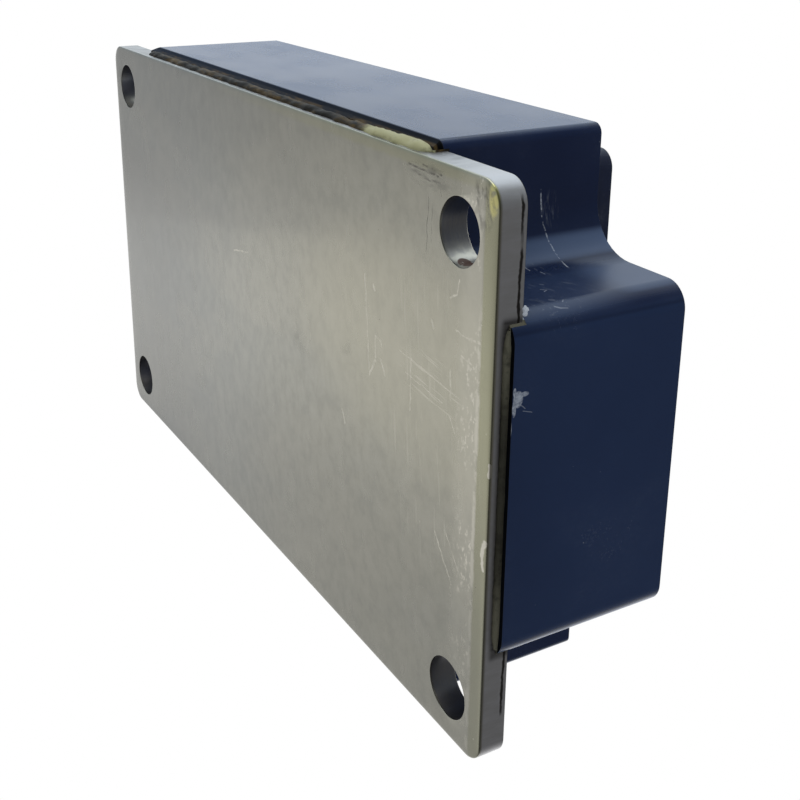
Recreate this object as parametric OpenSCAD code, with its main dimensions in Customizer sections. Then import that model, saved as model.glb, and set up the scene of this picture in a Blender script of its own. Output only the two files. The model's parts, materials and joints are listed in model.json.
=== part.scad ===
// Half-bridge IGBT power module in a 62 mm class housing.
// Origin at the centre of the baseplate's mounting face, +X along the module, +Z up.

/* [Baseplate] */
// Length of the copper baseplate
plate_l = 104.8; // [100:0.1:112]
// Width of the copper baseplate
plate_w = 59.4; // [57:0.1:64]
// Thickness of the baseplate
plate_t = 3; // [2.5:0.1:4]
// Corner radius of the baseplate
plate_r = 2.5; // [1:0.1:4]
// Distance from the mounting holes to the ends of the baseplate
hole_from_end = 5.9; // [5:0.1:7]
// Distance from the mounting holes to the sides of the baseplate
hole_from_side = 5.7; // [5:0.1:7]
// Diameter of the mounting holes
hole_d = 6.5; // [5.5:0.1:7]

/* [Housing] */
// How far the housing stands out past the sides of the baseplate
side_lap = 1.0; // [0.6:0.05:1.4]
// How far the housing stands out past the ends of the baseplate
end_lap = 0.8; // [0.6:0.05:1.4]
// Height of the housing's shoulder above the mounting face
shoulder_z = 21.5; // [20:0.1:25]
// Length of a screw recess along the module, from the housing's end to the long wall
recess_l = 13.7; // [13:0.1:15]
// Width of a screw recess, from the housing's side to the end block
recess_w = 13.1; // [12.7:0.1:14]
// Radius of the fillet in each screw recess
recess_r = 5.5; // [4:0.1:6]
// Radius on the outer corners of the end blocks
end_corner_r = 2.6; // [2.5:0.1:3.5]
// Radius on the upright edges of the long walls
wall_corner_r = 1.1; // [0.8:0.1:2]
// Thickness of the housing's walls
wall_t = 2.2; // [1.8:0.1:2.4]
// Thickness of the housing's shoulder
roof_t = 2; // [1.5:0.1:2.5]
// How far the skirt reaches down over the edge of the baseplate
skirt_drop = 1.4; // [0.8:0.1:1.8]
// Width of the chamfer along the skirt of the long walls
skirt_chamfer = 0.5; // [0.2:0.05:0.55]
// Height of that chamfer
skirt_chamfer_h = 1.2; // [0.6:0.1:2]

/* [Adhesive] */
// Thickness of the adhesive under the housing's foot
seal_t = 0.3; // [0.1:0.05:0.6]
// Gap between the skirt and the baseplate, filled with adhesive
seal_gap = 0.2; // [0.1:0.05:0.3]
// Width of the bead squeezed out below the skirt
bead_w = 0.55; // [0.3:0.05:0.6]
// Height of that bead
bead_h = 0.8; // [0.4:0.1:1.2]

/* [Lid] */
// Width of the shoulder between the long walls and the lid
side_shoulder_w = 3.5; // [3:0.1:4]
// Width of the shoulder between the ends of the long walls and the lid
end_shoulder_w = 2; // [1.8:0.1:2.4]
// How far the lid stands up above the shoulder
lid_rise = 3.5; // [2:0.1:4.5]
// Thickness of the lid's deck
lid_t = 2.4; // [2:0.1:3]
// Corner radius of the lid
lid_r = 2; // [1.5:0.1:3]
// Play between the lid and the opening that it drops into
lid_play = 0.15; // [0.1:0.01:0.3]
// Width of the ledge that the lid rests on
ledge_w = 1.5; // [1:0.1:2]
// Thickness of that ledge
ledge_t = 1.5; // [1:0.1:2]

/* [Power terminals] */
// Distance from the outer terminal towers to the ends of the lid
tower_from_end = 1.2; // [1:0.1:3]
// How far the terminal towers stand up above the lid
tower_rise = 4.3; // [3:0.1:6]
// Thickness of the terminal strip
strip_t = 1.2; // [1:0.1:1.5]
// Width of the terminal strip
strip_w = 13; // [11:0.1:13.4]
// Distance from the screw to the riser of a terminal
riser_y = 10.4; // [10:0.1:11]
// How far a lug reaches past its screw
lug_reach = 8.5; // [7.5:0.1:9]
// Diameter of the screw hole in a lug
lug_hole_d = 6.4; // [6.2:0.1:7]
// Length of a terminal tower along the module
tower_l = 16.6; // [16:0.1:18]
// Width of a terminal tower across the module
tower_w = 25.4; // [25:0.1:27]
// Corner radius of a terminal tower
tower_r = 1.5; // [0.8:0.1:2]
// Width of the lower leg of a terminal
leg_w = 4.6; // [3:0.1:5]
// Height above the gel at which a terminal jogs sideways to its leg
jog_rise = 1; // [0.8:0.1:3]
// Sideways step of a leg that jogs to the collector track
jog_y = 3.4; // [2.4:0.1:4]
// Length of a terminal's foot on the copper
foot_l = 2.8; // [2:0.1:3]

/* [Nuts] */
// Width across the flats of a captive nut
nut_af = 10; // [9.5:0.1:10.5]
// Height of a captive nut
nut_h = 5; // [4:0.1:5.5]
// Diameter of the nut's thread at its crests
nut_bore_d = 5; // [4.8:0.05:5.3]
// Play round a nut in its pocket
nut_play = 0.1; // [0.05:0.01:0.2]
// Diameter of the screw well below a nut
well_d = 7; // [6.6:0.1:8]
// Depth of the screw well below a nut
well_depth = 7; // [5:0.1:8]
// Wall round the screw well
well_wall = 1.8; // [1.2:0.1:2.2]

/* [Signal tabs] */
// Width of a signal tab
tab_w = 2.8; // [2.5:0.1:3.2]
// Thickness of a signal tab
tab_t = 0.8; // [0.5:0.1:0.8]
// How far the signal tabs stand up above the housing's shoulder
tab_rise = 7.5; // [6:0.1:9]
// Distance from the signal tabs to the end of the housing
tab_from_end = 6.7; // [6.2:0.1:7.2]
// Diameter of the latch hole in a signal tab
tab_hole_d = 1.3; // [1:0.1:1.5]
// Play round a signal tab in its slot
tab_play = 0.1; // [0.05:0.01:0.2]
// Height of the collar round each signal tab
collar_h = 1.5; // [1:0.1:2.5]
// Wall of that collar
collar_t = 1; // [0.8:0.1:1.1]
// Distance from the gate tabs to the sides of the end block
tab_from_side = 4.4; // [4.1:0.1:4.8]
// Distance between a gate tab and its sense tab
tab_pitch = 5.2; // [5:0.1:5.7]
// Width of the leads inside the housing
lead_w = 1.8; // [1.2:0.1:2]
// Height above the baseplate at which the gate leads run
gate_lead_rise = 6.4; // [6.2:0.1:6.6]
// Height above the baseplate at which the sense leads run
sense_lead_rise = 4.4; // [4:0.1:4.6]

/* [Substrates] */
// Gap between the substrates and the end walls of the cavity
dbc_end_gap = 0.55; // [0.3:0.05:1]
// Gap between the substrates and the long walls
dbc_side_gap = 7.5; // [6.5:0.1:7.7]
// Gap between the two substrates
dbc_gap = 1.5; // [1:0.1:2]
// Thickness of the ceramic
ceramic_t = 0.63; // [0.4:0.01:1]
// Thickness of each copper layer
copper_t = 0.3; // [0.2:0.05:0.4]
// Thickness of the solder under a substrate
base_solder_t = 0.2; // [0.1:0.05:0.4]
// Bare ceramic border round the copper
copper_margin = 0.5; // [0.3:0.1:0.8]
// Gap between two copper tracks
track_gap = 0.8; // [0.5:0.1:1]
// Width of a gate or sense track
signal_track_w = 2.3; // [2:0.1:2.4]
// Width of the emitter track
emitter_track_w = 4.2; // [3.6:0.1:4.4]

/* [Chips] */
// Gap between the IGBT chips and the legs of the terminals
chip_leg_gap = 1.7; // [1.2:0.1:2.5]
// How much shorter a diode chip is than an IGBT chip
diode_shorter = 0.6; // [0.2:0.1:2]
// Bare copper between the chips and the edges of their track
chip_margin = 1.7; // [1:0.1:2]
// Thickness of the chips
chip_t = 0.25; // [0.1:0.05:0.4]
// Thickness of the solder under a chip
chip_solder_t = 0.1; // [0.05:0.01:0.15]
// Gap between the two columns of chips
column_gap = 1.2; // [0.8:0.1:1.8]
// Distance between an IGBT chip and its diode
chip_space = 2.4; // [1.5:0.1:2.6]
// Side of a gate resistor chip
resistor_side = 1.8; // [1.2:0.1:2]
// Thickness of a gate resistor chip
resistor_t = 0.4; // [0.2:0.05:0.6]

/* [Bond wires] */
// Diameter of an emitter bond wire
wire_d = 0.4; // [0.3:0.05:0.5]
// Diameter of a gate bond wire
gate_wire_d = 0.2; // [0.15:0.01:0.3]
// Number of emitter wires side by side on a chip
wire_count = 5; // [3:1:6]
// Distance between two emitter wires
wire_pitch = 1.6; // [1:0.1:1.6]
// Angle at which a wire leaves its bond
wire_angle = 50; // [35:1:60]

/* [Gel] */
// Depth of the silicone gel over the baseplate
gel_depth = 8; // [7.6:0.1:8.5]
// Play left round what passes through the gel
gel_play = 0.1; // [0.05:0.01:0.2]

/* [Hidden] */
SIDES = ["high", "low"];
COLUMNS = [1, 2];
$fn = 64;
tiny = 0.01;
// A cut runs this far past the faces that it opens
past = 1;

body_l = plate_l + 2 * end_lap;
body_w = plate_w + 2 * side_lap;
hole_x = plate_l / 2 - hole_from_end;
hole_y = plate_w / 2 - hole_from_side;
long_wall_l = body_l - 2 * recess_l;
end_block_w = body_w - 2 * recess_w;
skirt_z = plate_t - skirt_drop;
foot_z = plate_t + seal_t;
roof_z = shoulder_z - roof_t;
lid_z = shoulder_z + lid_rise;
lid_l = long_wall_l - 2 * end_shoulder_w;
lid_w = body_w - 2 * side_shoulder_w;
deck_under_z = lid_z - lid_t;
// Inner radii follow the wall, and never close up
inner_end_r = max(end_corner_r - wall_t, 0.3);
inner_wall_r = max(wall_corner_r - wall_t, 0.3);

tower_z = lid_z + tower_rise;
terminal_z = tower_z + strip_t;
strip_mid_z = tower_z + strip_t / 2;
terminal_pitch = lid_l / 2 - tower_from_end - tower_l / 2;
gel_z = plate_t + gel_depth;
jog_z = gel_z + jog_rise;
pocket_z = tower_z - nut_h - nut_play;
well_z = pocket_z - well_depth;
pocket_d = (nut_af + 2 * nut_play) / cos(30);
slot_l = strip_w + 2 * tab_play;

base_solder_z = plate_t;
bottom_copper_z = base_solder_z + base_solder_t;
ceramic_z = bottom_copper_z + copper_t;
top_copper_z = ceramic_z + ceramic_t;
track_z = top_copper_z + copper_t;
chip_z = track_z + chip_solder_t;
chip_top_z = chip_z + chip_t;
dbc_l = long_wall_l / 2 - wall_t - dbc_end_gap - dbc_gap / 2;
dbc_w = body_w - 2 * (wall_t + dbc_side_gap);
dbc_x = (dbc_l + dbc_gap) / 2;

// Air left between a leg and the edge of its track
leg_edge = 0.4;
// The chips fill the track between the strips that the legs stand on
track_l = dbc_l - 2 * copper_margin;
chips_l = track_l - 2 * (leg_edge + leg_w + chip_leg_gap);
igbt_side = (chips_l - column_gap) / 2;
chip_pitch = igbt_side + column_gap;
diode_l = igbt_side - diode_shorter;

// Tracks across a substrate, from its own signal edge to the edge that carries the other side's signals
edge_v = dbc_w / 2 - copper_margin;
gate_v = edge_v - signal_track_w / 2;
sense_v = gate_v - signal_track_w - track_gap;
collector_top_v = sense_v - signal_track_w / 2 - track_gap;
emitter_v = -(collector_top_v - emitter_track_w / 2);
collector_low_v = emitter_v + emitter_track_w / 2 + track_gap;
collector_v = (collector_top_v + collector_low_v) / 2;
collector_w = collector_top_v - collector_low_v;

// Chips sit in two rows on the collector track
diode_w = collector_w - igbt_side - chip_space - 2 * chip_margin;
igbt_v = collector_top_v - chip_margin - igbt_side / 2;
diode_v = collector_low_v + chip_margin + diode_w / 2;

// Legs of the terminals stand in the free strip between the chips and the end of the tracks
leg_u = dbc_l / 2 - copper_margin - leg_w / 2 - leg_edge;
minus_leg_y = emitter_v + emitter_track_w / 2 - strip_t / 2 - leg_edge;
seam_x = dbc_gap / 2 + copper_margin;
link_rise = 3;

// Signal tabs, and where their leads jog sideways and stand on their tracks
tab_x = body_l / 2 - tab_from_end;
tab_z = shoulder_z + tab_rise;
gate_tab_y = end_block_w / 2 - tab_from_side;
sense_tab_y = gate_tab_y - tab_pitch;
gate_lead_z = plate_t + gate_lead_rise;
sense_lead_z = plate_t + sense_lead_rise;
lead_foot_x = dbc_x + dbc_l / 2 - copper_margin - lead_w / 2 - leg_edge;
sense_jog_x = long_wall_l / 2 - tab_t;
lead_foot_l = 2;

TAB_YS = [gate_tab_y, sense_tab_y, -sense_tab_y, -gate_tab_y];

// Bonds are flattened wire, longer than wide
bond_w = 1.3;
bond_l = 3;
bond_h = 0.7;
stitch = 0.35;
gate_pad_inset = 0.9;
sense_pad_inset = 2.1;

// ---- 2-D outlines ----

module rounded_rect(l, w, r) {
    square([l - 2 * r, w], center = true);
    square([l, w - 2 * r], center = true);
    for (sx = [-1, 1], sy = [-1, 1])
        translate([sx * (l / 2 - r), sy * (w / 2 - r)]) circle(r);
}

// Plan of the housing: long walls and end blocks, joined by a fillet in each screw recess
module cross_plan(l, w, wall_l, block_w, r_end, r_wall, r_recess) {
    rounded_rect(wall_l, w, r_wall);
    rounded_rect(l, block_w, r_end);
    for (sx = [-1, 1], sy = [-1, 1])
        mirror_to(sx, sy) translate([wall_l / 2 - tiny, block_w / 2 - tiny]) difference() {
            square(r_recess + tiny);
            translate([r_recess + tiny, r_recess + tiny]) circle(r_recess);
        }
}

// Mirrors what is drawn in the first quadrant into another
module mirror_to(sx, sy) {
    mirror([sx < 0 ? 1 : 0, 0, 0]) mirror([0, sy < 0 ? 1 : 0, 0]) children();
}

module outer_plan() {
    cross_plan(body_l, body_w, long_wall_l, end_block_w, end_corner_r, wall_corner_r, recess_r);
}

module inner_plan() {
    cross_plan(body_l - 2 * wall_t, body_w - 2 * wall_t, long_wall_l - 2 * wall_t,
        end_block_w - 2 * wall_t, inner_end_r, inner_wall_r, recess_r + wall_t);
}

module plate_plan(grow = 0) {
    rounded_rect(plate_l + 2 * grow, plate_w + 2 * grow, plate_r + grow);
}

module lid_plan(grow = 0) {
    rounded_rect(lid_l + 2 * grow, lid_w + 2 * grow, lid_r + grow);
}

// Extrudes a plan from one height to another
module slab(z0, z1) {
    translate([0, 0, z0]) linear_extrude(z1 - z0) children();
}

// A box given by its centre in plan and its two heights
module box_at(x, y, l, w, z0, z1) {
    translate([x - l / 2, y - w / 2, z0]) cube([l, w, z1 - z0]);
}

// A bent strip seen edge on: a path with square legs and round outer corners
module bent_strip(path, t) {
    for (i = [0 : len(path) - 2]) {
        a = path[i];
        b = path[i + 1];
        run = norm(b - a);
        translate(a) rotate(atan2(b[1] - a[1], b[0] - a[0])) translate([0, -t / 2]) square([run, t]);
    }
    for (i = [1 : len(path) - 2]) translate(path[i]) circle(t / 2);
}

// Stands a drawing of (y, z) upright and gives it a width along X, centred on x
module across_x(x, w) {
    translate([x - w / 2, 0, 0]) rotate([90, 0, 90]) linear_extrude(w) children();
}

// Stands a drawing of (x, z) upright and gives it a width along Y, centred on y
module across_y(y, w) {
    translate([0, y + w / 2, 0]) rotate([90, 0, 0]) linear_extrude(w) children();
}

module bolt_holes() {
    for (sx = [-1, 1], sy = [-1, 1])
        translate([sx * hole_x, sy * hole_y]) circle(d = hole_d);
}

// ---- Baseplate, adhesive and housing ----

module baseplate() {
    color("lightslategray") slab(0, plate_t) difference() {
        plate_plan();
        bolt_holes();
    }
}

// Adhesive: a film under the foot, a fill beside the plate and a bead squeezed out below the skirt
module adhesive_seal() {
    color("darkkhaki") {
        slab(plate_t, foot_z) difference() {
            intersection() {
                outer_plan();
                plate_plan(seal_gap);
            }
            inner_plan();
        }
        slab(skirt_z, foot_z) difference() {
            intersection() {
                outer_plan();
                plate_plan(seal_gap);
            }
            plate_plan();
        }
        squeezed_bead();
    }
}

module squeezed_bead() {
    side_l = long_wall_l - 2 * wall_corner_r;
    end_l = end_block_w - 2 * end_corner_r;
    for (s = [0, 1]) {
        mirror([0, s, 0]) across_x(0, side_l) bead_section(plate_w / 2);
        mirror([s, 0, 0]) across_y(0, end_l) bead_section(plate_l / 2);
    }
}

// The bead's sagging front, with a root that reaches up into the gap
module bead_section(from) {
    belly = [0.6 * bead_w, 0.55 * bead_h];
    polygon([
        [from, skirt_z - bead_h], [from + belly[0], skirt_z - belly[1]], [from + bead_w, skirt_z],
        [from + seal_gap, skirt_z], [from + seal_gap, plate_t], [from, plate_t]
    ]);
}

module housing_frame() {
    color("midnightblue") difference() {
        union() {
            slab(skirt_z, shoulder_z) outer_plan();
            for (y = TAB_YS) collar(y);
        }
        slab(skirt_z - past, foot_z) plate_plan(seal_gap);
        slab(skirt_z, roof_z - ledge_t) inner_plan();
        slab(roof_z - ledge_t - past, roof_z) end_pockets();
        slab(roof_z - ledge_t - past, roof_z + past) lid_plan(-ledge_w);
        slab(roof_z, shoulder_z + past) lid_plan(lid_play);
        skirt_chamfers();
        for (y = TAB_YS) tab_slot(y);
    }
}

// Room under the shoulder of the end blocks, past the ledge that carries the lid
module end_pockets() {
    difference() {
        inner_plan();
        square([lid_l + 2 * lid_play + 2 * ledge_w, body_w], center = true);
    }
}

module skirt_chamfers() {
    for (s = [0, 1]) mirror([0, s, 0]) across_x(0, long_wall_l + 2 * past) polygon([
        [body_w / 2 - skirt_chamfer, skirt_z - tiny], [body_w / 2, skirt_z + skirt_chamfer_h],
        [body_w / 2 + past, skirt_z + skirt_chamfer_h], [body_w / 2 + past, skirt_z - tiny]
    ]);
}

module collar(y) {
    box_at(-tab_x, y, tab_t + 2 * collar_t, tab_w + 2 * collar_t, roof_z, shoulder_z + collar_h);
}

module tab_slot(y) {
    play = 2 * tab_play;
    box_at(-tab_x, y, tab_t + play, tab_w + play, roof_z - past, shoulder_z + collar_h + past);
}

// ---- Lid with its terminal towers ----

function terminal_x(i) = (i - 1) * terminal_pitch;

module lid() {
    color("navy") difference() {
        union() {
            slab(deck_under_z, lid_z) lid_plan();
            slab(roof_z, deck_under_z + tiny) difference() {
                lid_plan();
                lid_plan(-ledge_w);
            }
            for (i = [0 : 2]) translate([terminal_x(i), 0]) tower();
        }
        for (i = [0 : 2]) translate([terminal_x(i), 0]) tower_cuts();
    }
}

// A tower, with the closed well for the screw's end hanging below the deck
module tower() {
    slab(lid_z - tiny, tower_z) rounded_rect(tower_l, tower_w, tower_r);
    slab(well_z - well_wall, pocket_z - well_wall) circle(d = well_d + 2 * well_wall);
    slab(pocket_z - well_wall - tiny, tower_z - tiny) circle(d = pocket_d + 2 * well_wall);
}

// Nut pocket, screw well and the slot for the terminal's riser
module tower_cuts() {
    slab(pocket_z, tower_z + past) circle(d = pocket_d, $fn = 6);
    slab(well_z, pocket_z + tiny) circle(d = well_d);
    box_at(0, -riser_y, slot_l, strip_t + 2 * tab_play, deck_under_z - past, tower_z + past);
}

module terminal_nuts() {
    color("silver") for (i = [0 : 2]) translate([terminal_x(i), 0, pocket_z]) difference() {
        cylinder(d = nut_af / cos(30), h = nut_h, $fn = 6);
        translate([0, 0, -past]) cylinder(d = nut_bore_d, h = nut_h + 2 * past);
    }
}

// ---- Power terminals ----

// Lug over the nut, riser through the slot and a leg that jogs to its foot on the copper
module power_terminal(i, leg_x, leg_y, foot_dir) {
    x = terminal_x(i);
    foot_mid_z = track_z + strip_t / 2;
    jog = [[-riser_y, jog_z], [leg_y, jog_z]];
    lug = [[lug_reach, strip_mid_z], [-riser_y, strip_mid_z]];
    foot = [[leg_y, foot_mid_z], [leg_y + foot_dir * foot_l, foot_mid_z]];
    low_x = min(x - strip_w / 2, leg_x - leg_w / 2);
    high_x = max(x + strip_w / 2, leg_x + leg_w / 2);
    color("gainsboro") difference() {
        union() {
            across_x(x, strip_w) bent_strip(concat(lug, jog), strip_t);
            across_x((low_x + high_x) / 2, high_x - low_x) bent_strip(jog, strip_t);
            across_x(leg_x, leg_w) bent_strip(concat(jog, foot), strip_t);
        }
        translate([x, 0, terminal_z - 2 * strip_t]) cylinder(d = lug_hole_d, h = 3 * strip_t);
    }
}

module terminal_plus() {
    power_terminal(2, dbc_x + leg_u, jog_y - riser_y, 1);
}

module terminal_minus() {
    power_terminal(1, leg_u - dbc_x, minus_leg_y, -1);
}

module terminal_output() {
    power_terminal(0, -dbc_x - leg_u, jog_y - riser_y, 1);
}

// Copper strap from the high side's emitter track to the low side's collector track
module phase_link() {
    low_z = track_z + strip_t / 2;
    high_z = low_z + link_rise;
    leg_x = seam_x + strip_t / 2 + leg_edge;
    color("peru") across_y(-emitter_v, emitter_track_w - 2 * leg_edge) bent_strip([
        [-leg_x - foot_l, low_z], [-leg_x, low_z], [-leg_x, high_z],
        [leg_x, high_z], [leg_x, low_z], [leg_x + foot_l, low_z]
    ], strip_t);
}

// ---- Signal tabs ----

// Blade above the shoulder, and the lead from it to a track; grow makes the room it needs in the gel
module signal_tab(tab_y, track_v, run_z, jog_x, grow = 0) {
    w = lead_w + 2 * grow;
    half = lead_w / 2;
    z0 = run_z - grow;
    z1 = run_z + tab_t + grow;
    y = sign(track_v) * tab_y;
    color("gainsboro") {
        if (grow == 0) across_x(-tab_x, tab_t) blade_face(y);
        box_at(-tab_x, y, tab_t + 2 * grow, tab_w + 2 * grow, z0, shoulder_z);
        box_between([-tab_x - tab_t / 2, half - jog_x], [y - half, y + half], z0, z1, grow);
        box_between([-jog_x - half, half - jog_x], [min(y, track_v), max(y, track_v)], z0, z1, grow);
        box_between([-jog_x - half, half - lead_foot_x], [track_v - half, track_v + half], z0, z1, grow);
        box_at(-lead_foot_x, track_v, w, w, track_z, z1);
        box_at(-lead_foot_x + lead_foot_l / 2, track_v, w + lead_foot_l, w, track_z, track_z + tab_t);
    }
}

// A box between two places along X and two along Y, grown on all four sides
module box_between(xs, ys, z0, z1, grow) {
    translate([xs[0] - grow, ys[0] - grow, z0])
        cube([xs[1] - xs[0] + 2 * grow, ys[1] - ys[0] + 2 * grow, z1 - z0]);
}

// Front of a blade: clipped top corners and a latch hole
module blade_face(y) {
    clip = tab_w / 5;
    translate([y, 0]) difference() {
        polygon([
            [-tab_w / 2, shoulder_z - past], [tab_w / 2, shoulder_z - past], [tab_w / 2, tab_z - clip],
            [tab_w / 2 - clip, tab_z], [clip - tab_w / 2, tab_z], [-tab_w / 2, tab_z - clip]
        ]);
        translate([0, tab_z - tab_w]) circle(d = tab_hole_d);
    }
}

module gate_tab_low(grow = 0) {
    signal_tab(gate_tab_y, gate_v, gate_lead_z, lead_foot_x, grow);
}

module sense_tab_low(grow = 0) {
    signal_tab(sense_tab_y, sense_v, sense_lead_z, sense_jog_x, grow);
}

module gate_tab_high(grow = 0) {
    signal_tab(gate_tab_y, -gate_v, gate_lead_z, lead_foot_x, grow);
}

module sense_tab_high(grow = 0) {
    signal_tab(sense_tab_y, -sense_v, sense_lead_z, sense_jog_x, grow);
}

// ---- Substrates ----

// The two sides carry the same substrate, the high side's turned half round
module on_side(s) {
    turned = s == "high";
    translate([turned ? dbc_x : -dbc_x, 0, 0]) rotate(turned ? 180 : 0) children();
}

module base_solder(s) {
    color("darkgray") on_side(s)
        box_at(0, 0, track_l, dbc_w - 2 * copper_margin, base_solder_z, bottom_copper_z);
}

module dbc_bottom_copper(s) {
    color("chocolate") on_side(s)
        box_at(0, 0, track_l, dbc_w - 2 * copper_margin, bottom_copper_z, ceramic_z);
}

module dbc_ceramic(s) {
    color("ivory") on_side(s) box_at(0, 0, dbc_l, dbc_w, ceramic_z, top_copper_z);
}

module dbc_top_copper(s) {
    color("peru") on_side(s) {
        box_at(0, collector_v, track_l, collector_w, top_copper_z, track_z);
        box_at(0, emitter_v, track_l, emitter_track_w, top_copper_z, track_z);
        for (v = [gate_v, sense_v, -sense_v, -gate_v])
            box_at(0, v, track_l, signal_track_w, top_copper_z, track_z);
    }
}

function column_u(c) = (c - 1.5) * chip_pitch;

module chip_solder(s) {
    color("darkgray") on_side(s) for (c = COLUMNS) {
        box_at(column_u(c), igbt_v, igbt_side, igbt_side, track_z, chip_z);
        box_at(column_u(c), diode_v, diode_l, diode_w, track_z, chip_z);
        box_at(column_u(c), gate_v, resistor_side, resistor_side, track_z, chip_z);
    }
}

module igbt_chip(s, c) {
    color("slategray") on_side(s) box_at(column_u(c), igbt_v, igbt_side, igbt_side, chip_z, chip_top_z);
}

module diode_chip(s, c) {
    color("dimgray") on_side(s) box_at(column_u(c), diode_v, diode_l, diode_w, chip_z, chip_top_z);
}

module gate_resistors(s) {
    color("black") on_side(s) for (c = COLUMNS)
        box_at(column_u(c), gate_v, resistor_side, resistor_side, chip_z, chip_z + resistor_t);
}

// ---- Bond wires ----

// A looped wire between two bonds, each given by the point of the surface under it
module bond_wire(a, b, d) {
    lift = bond_h * d;
    run = norm([b[0] - a[0], b[1] - a[1]]);
    p = [0, a[2] + lift];
    q = [run, b[2] + lift];
    chord = norm(q - p);
    slope = atan2(q[1] - p[1], q[0] - p[0]);
    loop_r = chord / 2 / sin(wire_angle);
    drop = loop_r * cos(wire_angle);
    centre = (p + q) / 2 + drop * [sin(slope), -cos(slope)];
    translate([a[0], a[1], 0]) rotate(atan2(b[1] - a[1], b[0] - a[0])) {
        rotate([90, 0, 0]) translate(centre) rotate(90 + slope - wire_angle)
            rotate_extrude(angle = 2 * wire_angle) translate([loop_r, 0]) circle(d = d);
        for (end = [[0, a[2]], [run, b[2]]])
            box_at(end[0], 0, bond_l * d, bond_w * d, end[1], end[1] + lift + d / 4);
    }
}

module emitter_wires(s) {
    color("whitesmoke") on_side(s) for (c = COLUMNS, k = [1 : wire_count]) {
        u = column_u(c) + (k - (wire_count + 1) / 2) * wire_pitch;
        bond_wire([u, emitter_v, track_z], [u, diode_v - stitch, chip_top_z], wire_d);
        bond_wire([u, diode_v + stitch, chip_top_z], [u, igbt_v, chip_top_z], wire_d);
    }
}

// Gate wires start on the gate resistors, sense wires on the sense track
module gate_wires(s) {
    igbt_edge_v = igbt_v + igbt_side / 2;
    color("whitesmoke") on_side(s) for (c = COLUMNS) {
        u = column_u(c);
        sense_u = u + resistor_side;
        gate_pad = [u, igbt_edge_v - gate_pad_inset, chip_top_z];
        sense_pad = [sense_u, igbt_edge_v - sense_pad_inset, chip_top_z];
        bond_wire([u, gate_v, chip_z + resistor_t], gate_pad, gate_wire_d);
        bond_wire([sense_u, sense_v, track_z], sense_pad, gate_wire_d);
    }
}

// Wires that carry the high side's gate and sense tracks over the seam
module track_links() {
    bond_x = seam_x + leg_edge + bond_l * wire_d;
    color("whitesmoke") for (v = [gate_v, sense_v], k = [-1, 1]) {
        y = -v + k * signal_track_w / 4;
        bond_wire([-bond_x, y, track_z], [bond_x, y, track_z], wire_d);
    }
}

// ---- Gel ----

// Silicone gel over the substrates, with room for the wires and for what passes through it
module silicone_gel() {
    wire_rise = (igbt_v - emitter_v) / 2 * tan(wire_angle / 2);
    room_z = max(track_z + strip_t + link_rise, chip_top_z + 2 * wire_d + wire_rise) + gel_play;
    room_l = 2 * dbc_l + dbc_gap + 2 * gel_play;
    room_w = dbc_w + 2 * gel_play;
    legs = [
        [dbc_x + leg_u, jog_y - riser_y], [leg_u - dbc_x, minus_leg_y], [-dbc_x - leg_u, jog_y - riser_y]
    ];
    color("lightcyan") difference() {
        slab(plate_t, gel_z) inner_plan();
        box_at(0, 0, room_l, room_w, plate_t - past, room_z);
        for (leg = legs)
            box_at(leg[0], leg[1], leg_w + 2 * gel_play, strip_t + 2 * gel_play, plate_t, gel_z + past);
        gate_tab_low(gel_play);
        sense_tab_low(gel_play);
        gate_tab_high(gel_play);
        sense_tab_high(gel_play);
    }
}

baseplate();
adhesive_seal();
housing_frame();
lid();
silicone_gel();
terminal_plus();
terminal_minus();
terminal_output();
terminal_nuts();
phase_link();
track_links();
gate_tab_high();
sense_tab_high();
gate_tab_low();
sense_tab_low();
for (s = SIDES) {
    base_solder(s);
    dbc_bottom_copper(s);
    dbc_ceramic(s);
    dbc_top_copper(s);
    chip_solder(s);
    emitter_wires(s);
    gate_wires(s);
    gate_resistors(s);
    for (c = COLUMNS) {
        igbt_chip(s, c);
        diode_chip(s, c);
    }
}
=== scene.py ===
"""Dresses a power module: its worn baseplate, moulded housing, adhesive, terminals and inner layers."""

import json
import math

import bmesh
import bpy
from mathutils import Matrix, Vector, noise


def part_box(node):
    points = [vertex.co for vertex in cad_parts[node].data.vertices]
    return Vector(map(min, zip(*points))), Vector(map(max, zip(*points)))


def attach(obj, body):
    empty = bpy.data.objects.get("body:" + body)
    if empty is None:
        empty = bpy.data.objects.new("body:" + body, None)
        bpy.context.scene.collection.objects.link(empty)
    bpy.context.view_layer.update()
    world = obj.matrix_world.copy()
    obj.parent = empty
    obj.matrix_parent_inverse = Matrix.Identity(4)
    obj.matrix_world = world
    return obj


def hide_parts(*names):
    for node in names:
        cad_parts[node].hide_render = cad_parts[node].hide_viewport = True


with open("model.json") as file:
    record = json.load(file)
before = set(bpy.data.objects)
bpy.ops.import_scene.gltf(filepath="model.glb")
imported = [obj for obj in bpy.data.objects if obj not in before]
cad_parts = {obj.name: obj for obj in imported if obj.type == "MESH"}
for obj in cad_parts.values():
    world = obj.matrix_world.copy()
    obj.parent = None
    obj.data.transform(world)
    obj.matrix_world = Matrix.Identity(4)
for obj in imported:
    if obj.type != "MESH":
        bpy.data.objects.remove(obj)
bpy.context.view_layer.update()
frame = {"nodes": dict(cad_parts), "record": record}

bl_info = {
    "name": "Power Module Dresser",
    "version": (1, 0, 0),
    "blender": (4, 5, 0),
    "location": "3D View > Sidebar > Module",
    "description": "Finishes the pieces of a power module and sets it on its stage",
    "category": "Object",
}

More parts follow.
